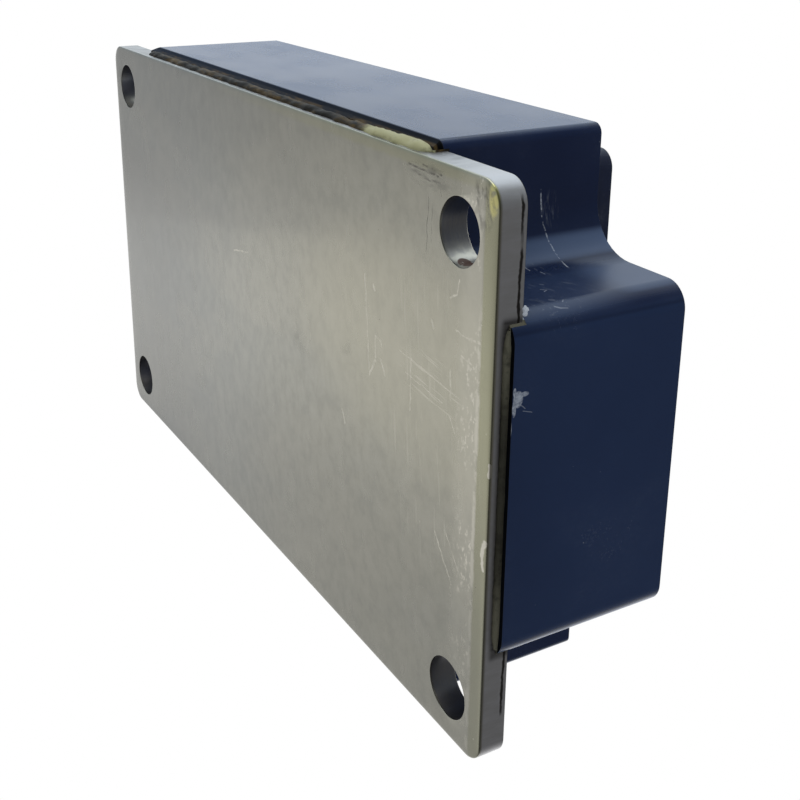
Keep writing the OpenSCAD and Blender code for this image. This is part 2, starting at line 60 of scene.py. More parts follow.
MM = 0.001
PLATE_LOW, PLATE_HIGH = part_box("baseplate")
FRAME_LOW, FRAME_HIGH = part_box("housing_frame")
SEAL_LOW, SEAL_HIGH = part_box("adhesive_seal")
HOLES = next(mount for mount in frame["record"]["mounts"] if mount["kind"] == "bolt_pattern")["dims"]
BLOCK_SIDE = 17.6  # half the width of the end blocks, in millimetres
PLATE_CORNER = 2.5 * MM
# The punched edge rolls over towards the mounting face: inset and drop of each rim, in millimetres
PLATE_ROLL = ((0.02, 0.08), (0.05, 0.06), (0.10, 0.05), (0.20, 0.04), (0.40, 0.03), (0.70, 0.02))
RING_STEPS = 64
ROLL_STEPS = 4
CORNER_STEPS = 14
NEAR = 0.01 * MM
MERGE = 0.002 * MM
SLIVER = 0.0005 * MM
FLAT, SHARP, CREASE = math.radians(0.5), math.radians(35), math.radians(60)
# The squeezed bead: where it stops, in millimetres, and how much it is drawn out lengthwise
BEAD_ON_END, BEAD_ON_SIDE = (15.0, 1.09), (38.4, 1.02)
BEAD_CUTS = 170
CRUMB_RADIUS = 0.4 * MM
CRUMB_PLACE = Vector((PLATE_HIGH.x / MM - 0.12, -17.9, 3.3)) * MM
FLOOR_RADIUS = 2.5
FLOOR_STEPS = 96
FLOOR_DROP = 0.02 * MM
FLOOR_MARGIN = 1.5 * MM
# Each lamp's name, place, aim, size and power
LAMPS = (
    ("over_lamp", (0.10, -0.30, 1.20), (0.0, 0.0, 0.01), 1.0, 5.3),
    ("side_lamp", (-0.35, -1.20, -0.15), (0.0, 0.0, 0.01), 1.0, 5.5),
)

# Marks in millimetres: a line's start and end along two axes, and its width
PLATE_SCRATCHES = (
    (29.1, -15.2, 30.2, -4.4, 0.11), (30.2, -4.4, 31.5, -6.5, 0.17), (31.5, -6.5, 31.3, -9.1, 0.13),
    (31.3, -9.1, 32.6, -8.9, 0.16), (32.6, -8.9, 32.7, -8.4, 0.11), (32.6, -6.9, 33.5, -5.4, 0.13),
    (46.4, -14.7, 48.4, -14.5, 0.14), (48.4, -14.5, 50.2, -14.7, 0.22), (47.4, -12.5, 49.0, -12.3, 0.16),
    (46.8, -19.6, 46.4, -18.2, 0.13), (46.4, -18.2, 45.4, -17.5, 0.16), (38.6, -9.2, 38.5, -3.6, 0.10),
    (45.6, -10.6, 45.8, -7.5, 0.12), (45.6, -5.9, 46.6, -4.5, 0.12), (42.2, -14.3, 42.6, -13.7, 0.22),
    (43.5, 7.5, 46.8, 11.8, 0.14), (45.4, 6.4, 48.3, 10.2, 0.10), (31.0, -14.5, 31.2, -14.1, 0.2),
    (36.4, -9.3, 47.4, -8.2, 0.07), (37.5, -7.3, 44.4, -6.7, 0.07), (24.0, 2.0, 24.6, 3.6, 0.12),
    (-6.0, -8.5, -1.5, -9.3, 0.13),
)
EDGE_CHIPS = ((52.1, 4.4, 51.7, 6.0, 0.35), (51.7, 6.0, 51.9, 7.4, 0.22), (52.3, -3.6, 52.3, -2.4, 0.25))
RUBBED_LINES = (
    (37.6, -28.5, 42.9, -28.3, 0.16), (38.4, -28.0, 41.2, -27.7, 0.12), (40.2, -28.9, 43.4, -28.6, 0.12),
    (40.6, -27.6, 43.2, -27.8, 0.14), (43.2, -27.8, 43.4, -26.6, 0.10), (41.3, -26.0, 41.0, -20.8, 0.08),
    (42.0, -25.6, 41.8, -21.8, 0.06),
)
SMEAR_CURLS = ((-9.5, 2.5, -8.9, 3.1, 0.07), (-8.7, 2.9, -8.4, 3.9, 0.06))
RECESS_SCUFF = ((-24.7, 14.2, -21.4, 14.45, 0.11), (-21.4, 14.45, -17.8, 14.75, 0.11))
BLOCK_NICKS = (
    (42.7, 10.3, 43.2, 10.5, 0.08), (43.7, 11.4, 44.2, 11.6, 0.08), (46.3, 9.4, 46.6, 9.6, 0.08),
    (47.6, 8.5, 48.0, 8.9, 0.09), (48.0, 8.9, 48.3, 8.4, 0.07), (50.3, 7.4, 50.6, 7.8, 0.10),
    (51.6, 7.1, 51.9, 7.6, 0.12), (50.9, 8.6, 51.2, 8.3, 0.08), (51.9, 7.6, 52.0, 8.3, 0.09),
)
# Blobs of dried glue on the end face: place and reach along Y and Z, in millimetres
GLUE_BLOBS = ((-9.95, 2.3, 0.95, 0.62), (-9.1, 1.9, 0.95, 0.26), (-10.35, 3.0, 0.28, 0.55),
              (-10.7, 1.9, 0.5, 0.2), (-7.2, 1.6, 0.95, 0.16))


# ---- Shader arithmetic ----

def maths(operation, flipped=False):
    """A method of Signal that adds one Math node."""
    def method(self, *others):
        values = (*others, self) if flipped else (self, *others)
        return self.shading.node("ShaderNodeMath", {"operation": operation}, dict(enumerate(values)))
    return method


class Signal:
    """The output of a shader node, usable in plain arithmetic."""

    def __init__(self, shading, socket):
        self.shading = shading
        self.socket = socket

    __add__ = __radd__ = maths("ADD")
    __sub__ = maths("SUBTRACT")
    __rsub__ = maths("SUBTRACT", flipped=True)
    __mul__ = __rmul__ = maths("MULTIPLY")
    __truediv__ = maths("DIVIDE")
    __rtruediv__ = maths("DIVIDE", flipped=True)
    __pow__ = maths("POWER")
    size = maths("ABSOLUTE")
    least = maths("MINIMUM")
    most = maths("MAXIMUM")
    root = maths("SQRT")
    fraction = maths("FRACT")

    def ramp(self, low, high, out_low=0.0, out_high=1.0, course="SMOOTHSTEP"):
        """Rises from out_low at low to out_high at high, smoothly or as another course says."""
        values = {"Value": self, "From Min": low, "From Max": high, "To Min": out_low, "To Max": out_high}
        return self.shading.node("ShaderNodeMapRange", {"interpolation_type": course}, values)


class Shading:
    """The nodes of a material or of the world, under construction."""

    def __init__(self, owner):
        owner.use_nodes = True
        self.tree = owner.node_tree
        self.tree.nodes.clear()

    def put(self, node, key, value):
        """Sets or links one input socket, given by its index, name or identifier."""
        named = [item for item in node.inputs if item.enabled and key in (item.identifier, item.name)]
        socket = named[0] if named else node.inputs[key]
        if isinstance(value, Signal):
            self.tree.links.new(value.socket, socket)
        elif socket.type == "RGBA":
            socket.default_value = (*value[:3], 1.0)
        else:
            socket.default_value = value

    def node(self, kind, settings=None, values=None, every=False):
        """Adds a node, its settings before the values or links of its sockets, and gives its first output."""
        made = self.tree.nodes.new(kind)
        for key, value in (settings or {}).items():
            setattr(made, key, value)
        for key, value in (values or {}).items():
            self.put(made, key, value)
        outputs = {socket.name: Signal(self, socket) for socket in made.outputs if socket.enabled}
        return outputs if every else next(iter(outputs.values()))

    def blend(self, factor, first, second):
        """Mixes two colours by factor."""
        return self.node("ShaderNodeMix", {"data_type": "RGBA"},
                         {"Factor_Float": factor, "A_Color": first, "B_Color": second})


class Finish(Shading):
    """A material under construction around one Principled shader."""

    def __init__(self, name, colour, metallic=0.0, roughness=0.5, **constants):
        self.material = bpy.data.materials.new(name)
        super().__init__(self.material)
        self.shader = self.tree.nodes.new("ShaderNodeBsdfPrincipled")
        self.output = self.tree.nodes.new("ShaderNodeOutputMaterial")
        self.surface = Signal(self, self.shader.outputs[0])
        self.put(self.output, "Surface", self.surface)
        self.set(Base_Color=colour, Metallic=metallic, Roughness=roughness, **constants)
        texture = self.node("ShaderNodeTexCoord", every=True)
        self.place = self.node("ShaderNodeVectorMath", {"operation": "SCALE"},
                               {0: texture["Object"], "Scale": 1 / MM})
        self.x, self.y, self.z = self.node("ShaderNodeSeparateXYZ", {}, {0: self.place}, every=True).values()
        self.colour = colour
        self.wander = []
        self.wander_reach = 0.3

    def set(self, **values):
        """Sets or links the shader's sockets, whose names have an underscore for each space."""
        for key, value in values.items():
            self.put(self.shader, key.replace("_", " "), value)

    def coat(self, mask, colour):
        """Lays a colour over those that are there, by a mask."""
        self.colour = self.blend(mask, self.colour, colour)

    def stretched(self, stretch, turn):
        """The place in millimetres, turned by degrees and then scaled along each axis."""
        turned = self.node("ShaderNodeVectorRotate", {"rotation_type": "EULER_XYZ"},
                           {"Vector": self.place, "Rotation": tuple(math.radians(a) for a in turn)})
        return self.node("ShaderNodeVectorMath", {"operation": "MULTIPLY"}, {0: turned, 1: stretch})

    def grain(self, scale, detail=2.0, rough=0.5, stretch=None, turn=(0, 0, 0)):
        """Noise from 0 to 1, with scale in features per millimetre, turned and stretched if asked."""
        place = self.stretched(stretch, turn) if stretch else self.place
        values = {"Vector": place, "Scale": scale, "Detail": detail, "Roughness": rough}
        return self.node("ShaderNodeTexNoise", {}, values)

    def specks(self, scale, size):
        """Round specks, as many as the cells of scale, size being their share of a cell."""
        values = {"Vector": self.place, "Scale": scale}
        return self.node("ShaderNodeTexVoronoi", {}, values).ramp(size, size * 0.6)

    def spot(self, centre, reach, soft=0.5):
        """A soft ellipsoid round a place, with a reach along each axis in millimetres."""
        x, y, z = [((axis - middle) / half) ** 2.0
                   for axis, middle, half in zip((self.x, self.y, self.z), centre, reach)]
        return (x + y + z).ramp(1.0, 1.0 - soft)

    def stroke(self, axes, start_p, start_q, end_p, end_q, width):
        """A fine, slightly wandering line between two places, given along two of the axes."""
        if not self.wander:
            reach = self.wander_reach * 2
            self.wander = [(self.grain(size, 3.0, 0.6) - 0.5) * reach for size in (0.7, 0.9)]
        p, q = [getattr(self, axis) + drift for axis, drift in zip(axes, self.wander)]
        run_p, run_q = end_p - start_p, end_q - start_q
        square = run_p * run_p + run_q * run_q
        along = (((p - start_p) * run_p + (q - start_q) * run_q) / square).most(0.0).least(1.0)
        off_p = p - start_p - along * run_p
        off_q = q - start_q - along * run_q
        return (off_p * off_p + off_q * off_q).root().ramp(width, width * 0.3)

    def strokes(self, axes, marks):
        """Several lines at once, each with its start, end and width."""
        return most([self.stroke(axes, *mark) for mark in marks])

    def relief(self, height, depth, strength=1.0):
        """Bumps the surface by height, where 1 stands depth millimetres proud."""
        values = {"Strength": strength, "Distance": depth * MM, "Height": height}
        return self.node("ShaderNodeBump", {}, values)


def most(signals):
    """The greatest of several masks."""
    top = signals[0]
    for signal in signals[1:]:
        top = top.most(signal)
    return top


# ---- Finishes ----

def worn_nickel(look):
    """Satin nickel plating, clouded and scratched, yellower along its near edges, with painted shade and
    painted reflection on its face.
    """
    plate = Finish("worn_nickel", look.plate_colour, metallic=1.0, roughness=0.25)
    half_l, half_w, thick = PLATE_HIGH / MM
    clouds = plate.grain(0.05, 4.0, 0.6, (0.45, 1.0, 1.0), (0, 0, 11))
    drift = plate.grain(0.22, 4.0, 0.65, (1.0, 0.35, 1.0))
    # Painted shade: the plating turns cooler and darker towards the -X end.
    beige = (plate.x / half_l).ramp(-0.75, 0.55) * 0.75 + clouds.ramp(0.35, 0.65) * 0.25
    plate.colour = plate.blend(beige, look.plate_cool_shaded, look.plate_colour)
    # The lighter clouds are partly clouded plating, partly painted reflection: a soft slanting band across
    # the face.
    plate.coat(clouds.ramp(0.45, 0.62) * 0.25, look.plate_light_and_reflection)
    plate.coat(drift.ramp(0.50, 0.72) * 0.22, look.plate_light_and_reflection)
    mottle = plate.grain(0.55, 5.0, 0.7, (1.0, 0.7, 1.0), (0, 0, 11))
    plate.coat(mottle.ramp(0.40, 0.75) * 0.30, look.plate_light_and_reflection)
    plate.coat(mottle.ramp(0.55, 0.30) * 0.22, look.plate_dull_and_shade)
    # Painted shade: the face is darker above a slanting line.
    shade_line = plate.y + plate.x * 0.19 + 12.5 + clouds * 4.0 - 2.0
    shaded_upper = shade_line.ramp(1.2, -1.2) * plate.x.ramp(40.0, 5.0)
    plate.coat(shaded_upper * 0.30, look.plate_dull_and_shade)
    # Painted light, warmer in tone: the right part of the face is made lighter.
    plate.coat(plate.spot((38.0, -9.0, 0.0), (30.0, 15.0, 2.0), 0.9) * 0.32, look.plate_warm_lit)
    # Painted shade: the face darkens towards the -X end and towards the +Y side.
    shaded_end = plate.x.ramp(5.0, -45.0) * plate.y.ramp(-20.0, -10.0, 0.15, 1.0) * 0.68
    shaded_side = plate.y.ramp(2.0, 16.0) * 0.20
    plate.coat(shaded_end.most(shaded_side), look.plate_dull_and_shade)
    from_edge = (half_l - plate.x.size()).least(half_w - plate.y.size())
    on_face = plate.z.ramp(0.35, 0.15)

    # The two near edges are yellowed, with a pale line where the yellowing starts
    fray = plate.grain(0.6, 3.0, 0.6) * 0.5 - 0.25
    end_band = (plate.x + fray * 0.4).ramp(50.3, 50.7)
    side_band = (0.0 - plate.y + fray).ramp(28.3, 28.9)
    side_band = side_band * plate.x.ramp(-20.0, 35.0) * 0.7
    band_shade = plate.blend(plate.y.ramp(-8.0, 22.0, 0.0, 0.45), look.plate_edge, look.plate_dull_and_shade)
    plate.coat(end_band.most(side_band) * 0.75 * on_face, band_shade)
    pale_line = (plate.x - 50.2 + fray * 1.2).size().ramp(0.5, 0.05) * plate.y.ramp(-20.0, -15.0)
    pale_line *= plate.y.ramp(18.0, 2.0, 0.35, 1.0)
    pale_line *= plate.grain(0.35, 4.0, 0.7).ramp(0.38, 0.55)
    # Yellowed plating and a painted highlight: a bright yellow spot on the corner.
    corner = plate.spot((51.6, -28.3, 0.1), (0.8, 2.2, 0.4), 0.7)
    corner_soil = plate.grain(0.8, 4.0, 0.7, (1.6, 0.5, 1.0), (0, 0, 20)).ramp(0.46, 0.62)
    corner_soil *= plate.spot((50.2, -27.6, 0.0), (1.9, 3.2, 1.0), 0.8)

    # Handling marks: a crackled strip beside the edge, a hatched patch and single scratches
    crackle = plate.grain(1.5, 4.0, 0.75, (1.2, 0.7, 1.0)).ramp(0.50, 0.62)
    crackle = crackle * plate.x.ramp(45.8, 48.6) * plate.x.ramp(50.4, 50.0)
    crackle = crackle * plate.grain(0.13, 2.0).ramp(0.36, 0.56) * plate.y.ramp(24.0, 4.0, 0.35, 1.0)
    worn_strip = plate.x.ramp(45.5, 49.0) * plate.x.ramp(50.5, 50.1) * plate.y.ramp(28.0, 0.0, 0.3, 1.0)
    hatch = plate.grain(1.0, 1.0, 0.5, (0.16, 2.8, 1.0), (0, 0, -6)).ramp(0.57, 0.68)
    hatch *= plate.spot((42.6, -8.0, 0.0), (7.5, 3.4, 2.0), 0.9)
    down = plate.grain(1.0, 1.0, 0.5, (2.6, 0.12, 1.0), (0, 0, 4)).ramp(0.62, 0.72)
    down *= plate.spot((42.0, -4.0, 0.0), (11.0, 19.0, 2.0), 0.9)
    fine = plate.strokes("xy", PLATE_SCRATCHES)
    broken = plate.grain(1.3, 4.0, 0.75).ramp(0.34, 0.62, 0.1, 1.0)
    chip = plate.strokes("xy", EDGE_CHIPS)
    dents = plate.specks(0.35, 0.035) * plate.x.ramp(10.0, 48.0)
    scratch = most([fine * broken * 0.75, crackle * 0.8, hatch * 0.4, down * 0.22, pale_line * 0.6,
                    chip * 1.3, dents * 0.6, worn_strip * 0.2]) * on_face
    plate.coat(scratch.least(1.0), look.plate_scratch_and_highlight)
    plate.coat(corner * plate.grain(0.9, 3.0).ramp(0.30, 0.48), look.plate_yellow_glint)

    # Dark rubbed lines near a hole, and thin stains
    rubbed = plate.strokes("xy", RUBBED_LINES) * broken
    haze = plate.grain(0.7, 4.0, 0.7, (0.5, 1.8, 1.0)).ramp(0.44, 0.66)
    haze = haze * plate.spot((41.2, -28.0, 0.0), (5.0, 1.5, 1.0), 0.9) * 0.45
    stains = plate.grain(0.11, 5.0, 0.7).ramp(0.60, 0.78) * 0.22
    pits = plate.specks(0.28, 0.025) * 0.6
    soil = most([rubbed * 0.8, haze, stains, corner_soil * 0.55, pits]) * on_face
    plate.coat(soil, look.plate_stain)

    # Sheared sides with a torn dark line near the housing, painted shade under the blocks' feet, and reamed
    # holes with a painted highlight on their walls
    below_top = plate.z.ramp(thick - 0.01, thick - 0.04)
    on_side = plate.z.ramp(0.25, 0.5) * from_edge.ramp(1.1, 0.8) * below_top
    in_hole = plate.z.ramp(0.05, 0.3) * from_edge.ramp(1.0, 2.0) * below_top
    shear = plate.grain(1.4, 4.0, 0.65, (1.0, 1.0, 0.22))
    plate.coat(on_side * shear.ramp(0.3, 0.75, 0.75, 1.0), look.plate_sheared)
    long_side = on_side * plate.y.size().ramp(half_w - 0.6, half_w - 0.2) * plate.x.ramp(52.0, 40.0, 0.2, 1.0)
    plate.coat(long_side * shear.ramp(0.35, 0.65, 0.3, 0.75), look.plate_dull_and_shade)
    # Painted shade with some grime: the side darkens under the block's foot.
    under_block = on_side * plate.x.size().ramp(half_l - 0.6, half_l - 0.2)
    under_block *= plate.y.size().ramp(BLOCK_SIDE + 0.2, BLOCK_SIDE - 0.6)
    under_block = under_block * plate.z.ramp(0.5, 1.2) * shear.ramp(0.25, 0.7, 0.55, 0.85)
    plate.coat(under_block, look.plate_tear_and_shade)
    tear_z = 2.55 + plate.grain(0.5, 3.0, 0.6) * 0.7 - 0.35
    tear = (plate.z - tear_z).size().ramp(0.22, 0.09) * plate.grain(0.13, 3.0).ramp(0.41, 0.47)
    tear *= plate.y.size().ramp(half_w - 1.0, half_w - 2.0)
    plate.coat(on_side * tear * 0.95, look.plate_tear_and_shade)
    side_nicks = plate.specks(0.9, 0.06) * plate.grain(0.4, 2.0).ramp(0.5, 0.6) * on_side
    plate.coat(side_nicks * 0.6, look.plate_scratch_and_highlight)
    reamed = plate.grain(1.0, 3.0, 0.6, (0.6, 0.6, 5.0))
    plate.coat(in_hole * reamed.ramp(0.25, 0.8, 0.95, 0.6), look.plate_bore)
    # Painted highlight: the walls of the holes are lighter on the side towards the plate's middle.
    bore_highlight = in_hole * (plate.y.size() - HOLES["spacing_y_mm"] / 2).ramp(-1.4, -2.8)
    bore_highlight *= plate.grain(0.9, 3.0).ramp(0.3, 0.6, 0.5, 1.0)
    plate.coat(bore_highlight, look.plate_scratch_and_highlight)
    rust = plate.spot((45.95, -20.8, 1.15), (0.9, 1.2, 0.75), 0.3) * plate.grain(1.7, 3.0).ramp(0.32, 0.38)
    plate.coat(rust, look.plate_rust)

    rough = 0.20 + drift * 0.08 + clouds * 0.05 + scratch * 0.10 + soil * 0.2
    rough = rough + on_side * 0.14 + in_hole * 0.08 + plate.z.ramp(thick - 0.04, thick - 0.01) * 0.2
    height = plate.grain(0.22, 3.0, 0.5) * 0.3 + plate.grain(3.0, 2.0, 0.5) * 0.03 - scratch * 0.10
    height = height - on_side * tear * 0.6 + in_hole * reamed * 0.25
    plate.set(Base_Color=plate.colour, Roughness=rough, Normal=plate.relief(height, 0.05, 0.5),
              Metallic=1.0 - (rust * 0.9).most(soil * 0.5))
    return plate.material


def moulded_navy(look):
    """Dark navy plastic with a low sheen, dust, scuffs and a smear of dried glue, with painted sheen on some
    faces and painted shade at the foot and the end rims.
    """
    shell = Finish("moulded_navy", look.navy, roughness=0.28, Specular_IOR_Level=0.3, Sheen_Weight=0.32,
                   Sheen_Roughness=0.3, Sheen_Tint=look.film_and_sheen)
    shell.wander_reach = 0.1
    half_l, half_w, _ = FRAME_HIGH / MM
    plate_end = PLATE_HIGH.x / MM
    clouds = shell.grain(0.05, 3.0, 0.55)
    shell.colour = shell.blend(clouds.ramp(0.3, 0.7), look.navy, look.navy_light)
    dust = shell.grain(0.10, 5.0, 0.6).ramp(0.42, 0.78) * shell.grain(2.6, 4.0, 0.75).ramp(0.30, 0.80)
    shell.coat(dust * 0.03, look.dust)
    motes = shell.specks(0.42, 0.028) * shell.grain(0.2, 2.0).ramp(0.48, 0.6)
    shell.coat(motes * 0.6, look.dust)

    # Dried glue on the end face, and a bright nick at the corner of the end block
    ragged = shell.grain(1.6, 4.0, 0.7).ramp(0.32, 0.56)
    smear = most([shell.spot((half_l, y, z), (0.6, reach_y, reach_z), 0.8)
                  for y, z, reach_y, reach_z in GLUE_BLOBS])
    smear = (smear.ramp(0.1, 0.5) * ragged).most(smear.ramp(0.5, 1.0) * 0.8)
    curl = shell.strokes("yz", SMEAR_CURLS)
    smear *= shell.grain(3.0, 3.0, 0.7).ramp(0.3, 0.6, 0.4, 1.0)
    smear = smear.most(curl * 0.35) * shell.x.ramp(half_l - 0.8, half_l - 0.4)
    nick = shell.spot((half_l - 1.0, -17.4, 2.6), (1.6, 0.5, 0.9), 0.4)

    # A curved scuff in the recess, and rubbed marks on the block's side
    in_recess = shell.x.ramp(38.5, 39.4) * shell.x.ramp(44.5, 43.4)
    in_recess *= shell.y.ramp(0.4 - BLOCK_SIDE, 0.1 - BLOCK_SIDE)
    scuff = shell.strokes("yz", RECESS_SCUFF)
    scuff = scuff * shell.grain(1.3, 4.0, 0.75).ramp(0.42, 0.60, 0.0, 1.0) * in_recess
    brushed = shell.grain(1.0, 3.0, 0.7, (1.0, 0.5, 3.4)).ramp(0.48, 0.66)
    haze = shell.spot((40.0, -22.6, 15.4), (2.0, 2.3, 1.5), 0.9) * 0.16 * brushed
    streaks = shell.grain(1.0, 2.0, 0.6, (0.5, 2.6, 2.6), (0, 12, 0)).ramp(0.58, 0.68)
    rubbed = shell.spot((47.0, -18.0, 9.0), (7.0, 1.6, 7.0), 0.9) * streaks * 0.12
    flecks = shell.specks(1.3, 0.09).most(shell.grain(2.2, 3.0, 0.7).ramp(0.60, 0.70))
    edge_rub = shell.spot((51.4, -17.4, 6.5), (2.4, 0.9, 5.5), 0.9)
    nicks = shell.strokes("xz", BLOCK_NICKS)
    nicks = nicks * shell.y.ramp(-17.0, -17.3) * shell.y.ramp(-20.0, -19.5) * 0.6
    edge_rub = (edge_rub * flecks * 0.22).most(nicks * 0.85)
    marks = most([smear, nick, scuff, haze, rubbed, edge_rub])
    shell.coat(marks * 0.75, look.glue_dry)

    # The long walls hold a thin layer of dust, which clouds their sheen; its bluish blotches are partly
    # painted reflection.
    film_and_sheen = shell.grain(0.09, 4.0, 0.6, (1.0, 1.0, 1.8))
    on_long_wall = shell.y.size().ramp(half_w - 0.5, half_w - 0.1)
    blotch = film_and_sheen.ramp(0.38, 0.68) * on_long_wall
    shell.coat(blotch * 0.03, look.film_and_sheen)

    # Painted sheen with some dust: a pale bluish coat in the recesses' fillets, on the block's side and
    # rounded edge, and thinly on its end
    away_x, away_y = shell.x.size(), shell.y.size()
    fillet = (((away_x - 41.2) / 2.0) ** 2.0 + ((away_y - 18.9) / 1.8) ** 2.0).ramp(1.0, 0.1)
    fillet = fillet * shell.z.ramp(3.0, 18.0, 0.55, 1.0) * film_and_sheen.ramp(0.2, 0.5, 0.7, 1.0)
    block_side = away_y.ramp(BLOCK_SIDE - 0.4, BLOCK_SIDE - 0.1) * away_x.ramp(42.0, 45.5)
    block_side = block_side * (shell.z + clouds * 2.0).ramp(14.5, 18.5) * 0.5
    rounded = away_x.ramp(half_l - 2.8, half_l - 1.8) * away_y.ramp(BLOCK_SIDE - 1.3, BLOCK_SIDE - 0.6)
    rounded = rounded * shell.z.ramp(18.0, 6.0) * 0.45
    dust_and_sheen = most([fillet, block_side, rounded])
    shell.coat(dust_and_sheen * 0.15, look.film_and_sheen)
    shell.coat(dust_and_sheen * 0.12, look.dust)
    shell.coat(away_x.ramp(half_l - 0.6, half_l - 0.1) * 0.03, look.film_and_sheen)
    # Painted shade: a dark band on each end face beside the rounded edge.
    end_rim_shade = away_x.ramp(half_l - 0.4, half_l - 0.1) * away_y.ramp(BLOCK_SIDE - 1.9, BLOCK_SIDE - 1.4)
    shell.coat(end_rim_shade * 0.8, look.navy_rim_shade)

    # Painted shade: the foot is made near black and unreflecting where it meets the plate and along its
    # underside at the ends; glue has crept up it on the near side
    on_foot = shell.y.ramp(-29.0, -29.8)
    spotted = shell.grain(0.5, 4.0, 0.7, (0.5, 1.0, 1.5))
    under_end = shell.z.ramp(1.72, 1.64) * away_x.ramp(plate_end - 0.4, plate_end)
    shaded_foot = (shell.z.ramp(2.8, 2.6) * on_foot).most(under_end)
    glued_foot = (shell.z + spotted * 0.8).ramp(2.65, 2.4) * on_foot
    shell.coat(shaded_foot, look.gap_shade)
    crept = shell.blend(spotted.ramp(0.42, 0.66), look.glue_brown, look.glue_amber)
    shell.coat(glued_foot, crept)
    rough = 0.20 + clouds * 0.08 + dust * 0.06 + marks * 0.25 + blotch * 0.04 + shaded_foot * 0.6
    rough += (shell.y + BLOCK_SIDE).size().ramp(1.0, 0.2) * shell.x.ramp(43.0, 45.0) * 0.12
    height = shell.grain(0.12, 2.0, 0.5) * 0.6 + shell.grain(5.0, 2.0, 0.5) * 0.03 + marks * 0.25
    shell.set(Metallic=shaded_foot * (1.0 - glued_foot * 0.5), Base_Color=shell.colour,
              Roughness=rough, Normal=shell.relief(height, 0.06, 0.5))
    return shell.material


def lid_navy(look):
    """The lid's navy plastic, a little greyer, with fine rub marks round the screws."""
    lid = Finish("lid_navy", look.lid_navy, roughness=0.34, Specular_IOR_Level=0.3)
    clouds = lid.grain(0.06, 4.0, 0.6)
    lid.colour = lid.blend(clouds.ramp(0.3, 0.7), look.lid_navy, look.navy_light)
    dust = lid.grain(0.2, 5.0, 0.7).ramp(0.5, 0.75) * lid.grain(2.4, 3.0, 0.7).ramp(0.35, 0.7)
    fine = most([lid.grain(0.9, 2.0, 0.6, (0.06, 3.0, 1.0), (0, 0, turn)).ramp(0.66, 0.74)
                 for turn in (31, -52, 84)]) * lid.grain(0.09, 3.0).ramp(0.45, 0.62)
    lid.coat(dust * 0.06, look.dust)
    lid.coat(fine * 0.06, look.glue_dry)
    motes = lid.specks(0.4, 0.03) * lid.grain(0.2, 2.0).ramp(0.45, 0.6)
    lid.coat(motes * 0.6, look.dust)
    height = lid.grain(6.0, 2.0, 0.6) * 0.12 + lid.grain(0.15, 2.0) * 0.4
    lid.set(Base_Color=lid.colour, Roughness=0.30 + clouds * 0.1 + dust * 0.15,
            Normal=lid.relief(height, 0.05, 0.35))
    return lid.material


def cured_adhesive(look):
    """Cured adhesive: olive in the gaps, pale where it swells at one end, else darkened to brown."""
    glue = Finish("cured_adhesive", look.glue_olive, roughness=0.5, Specular_IOR_Level=0.1)
    lumps = glue.grain(0.8, 4.0, 0.6, (0.6, 1.0, 1.0))
    on_near_side = glue.y.ramp(-29.0, -29.6)
    swollen = (glue.x + lumps * 4.0).ramp(28.0, 31.0) * on_near_side * glue.z.ramp(1.9, 1.6)
    streak = glue.grain(0.35, 4.0, 0.7, (0.5, 1.0, 2.0)).ramp(0.42, 0.70)
    brown = glue.blend(streak, look.glue_brown, look.glue_amber)
    clean = lumps.ramp(0.20, 0.55, 0.3, 1.0) * glue.y.size().ramp(6.0, 14.0, 0.3, 1.0)
    olive = glue.blend(clean, look.glue_brown, look.glue_olive)
    crumb = glue.spot((52.3, -18.0, 3.3), (1.2, 1.0, 0.9), 0.1)
    glue.colour = glue.blend(on_near_side, olive, brown)
    pale = glue.blend(lumps.ramp(0.22, 0.45, 0.5, 1.0), look.glue_amber, look.glue_pale)
    glue.coat(swollen, pale)
    glue.coat(crumb, look.glue_dry)
    pits = glue.specks(0.9, 0.2).most(glue.grain(1.6, 3.0, 0.6).ramp(0.6, 0.7))
    glue.coat(pits * (0.35 - swollen * 0.2), look.glue_brown)
    glue.set(Base_Color=glue.colour, Roughness=0.38 + lumps * 0.2,
             Normal=glue.relief(lumps + glue.grain(2.4, 3.0, 0.6) * 0.3, 0.12, 0.7))
    return glue.material


def plated_metal(name, colour, dull, brushed=(0.2, 3.0, 1.0), roughness=0.26):
    """Plated or drawn metal with brush lines and slightly dull patches."""
    metal = Finish(name, colour, metallic=1.0, roughness=roughness)
    lines = metal.grain(1.6, 2.0, 0.6, brushed)
    patches = metal.grain(0.3, 4.0, 0.6).ramp(0.42, 0.7)
    shade = metal.blend(patches * 0.4, colour, dull)
    shade = metal.blend(lines.ramp(0.45, 0.75) * 0.25, shade, dull)
    metal.set(Base_Color=shade, Roughness=roughness + patches * 0.15 + lines * 0.08,
              Normal=metal.relief(lines, 0.015, 0.5))
    return metal.material


def sintered_ceramic(look):
    """White alumina with a fine grain."""
    stone = Finish("sintered_ceramic", look.ceramic, roughness=0.55)
    grain = stone.grain(6.0, 3.0, 0.6)
    stone.set(Base_Color=stone.blend(grain * 0.3, look.ceramic, look.ceramic_shade),
              Normal=stone.relief(grain, 0.01, 0.4))
    return stone.material


def metallised_silicon(name, colour, cell, grid):
    """A chip's bright metal top, ruled with fine gate runners."""
    chip = Finish(name, colour, metallic=0.8, roughness=0.3)
    tint = chip.grain(0.4, 3.0, 0.6).ramp(0.3, 0.7)
    ruled = ((chip.x / grid).fraction() - 0.5).size().ramp(0.44, 0.48)
    shade = chip.blend(tint * 0.4, colour, cell)
    chip.set(Base_Color=chip.blend(ruled * 0.5, shade, cell), Roughness=0.28 + tint * 0.12)
    return chip.material


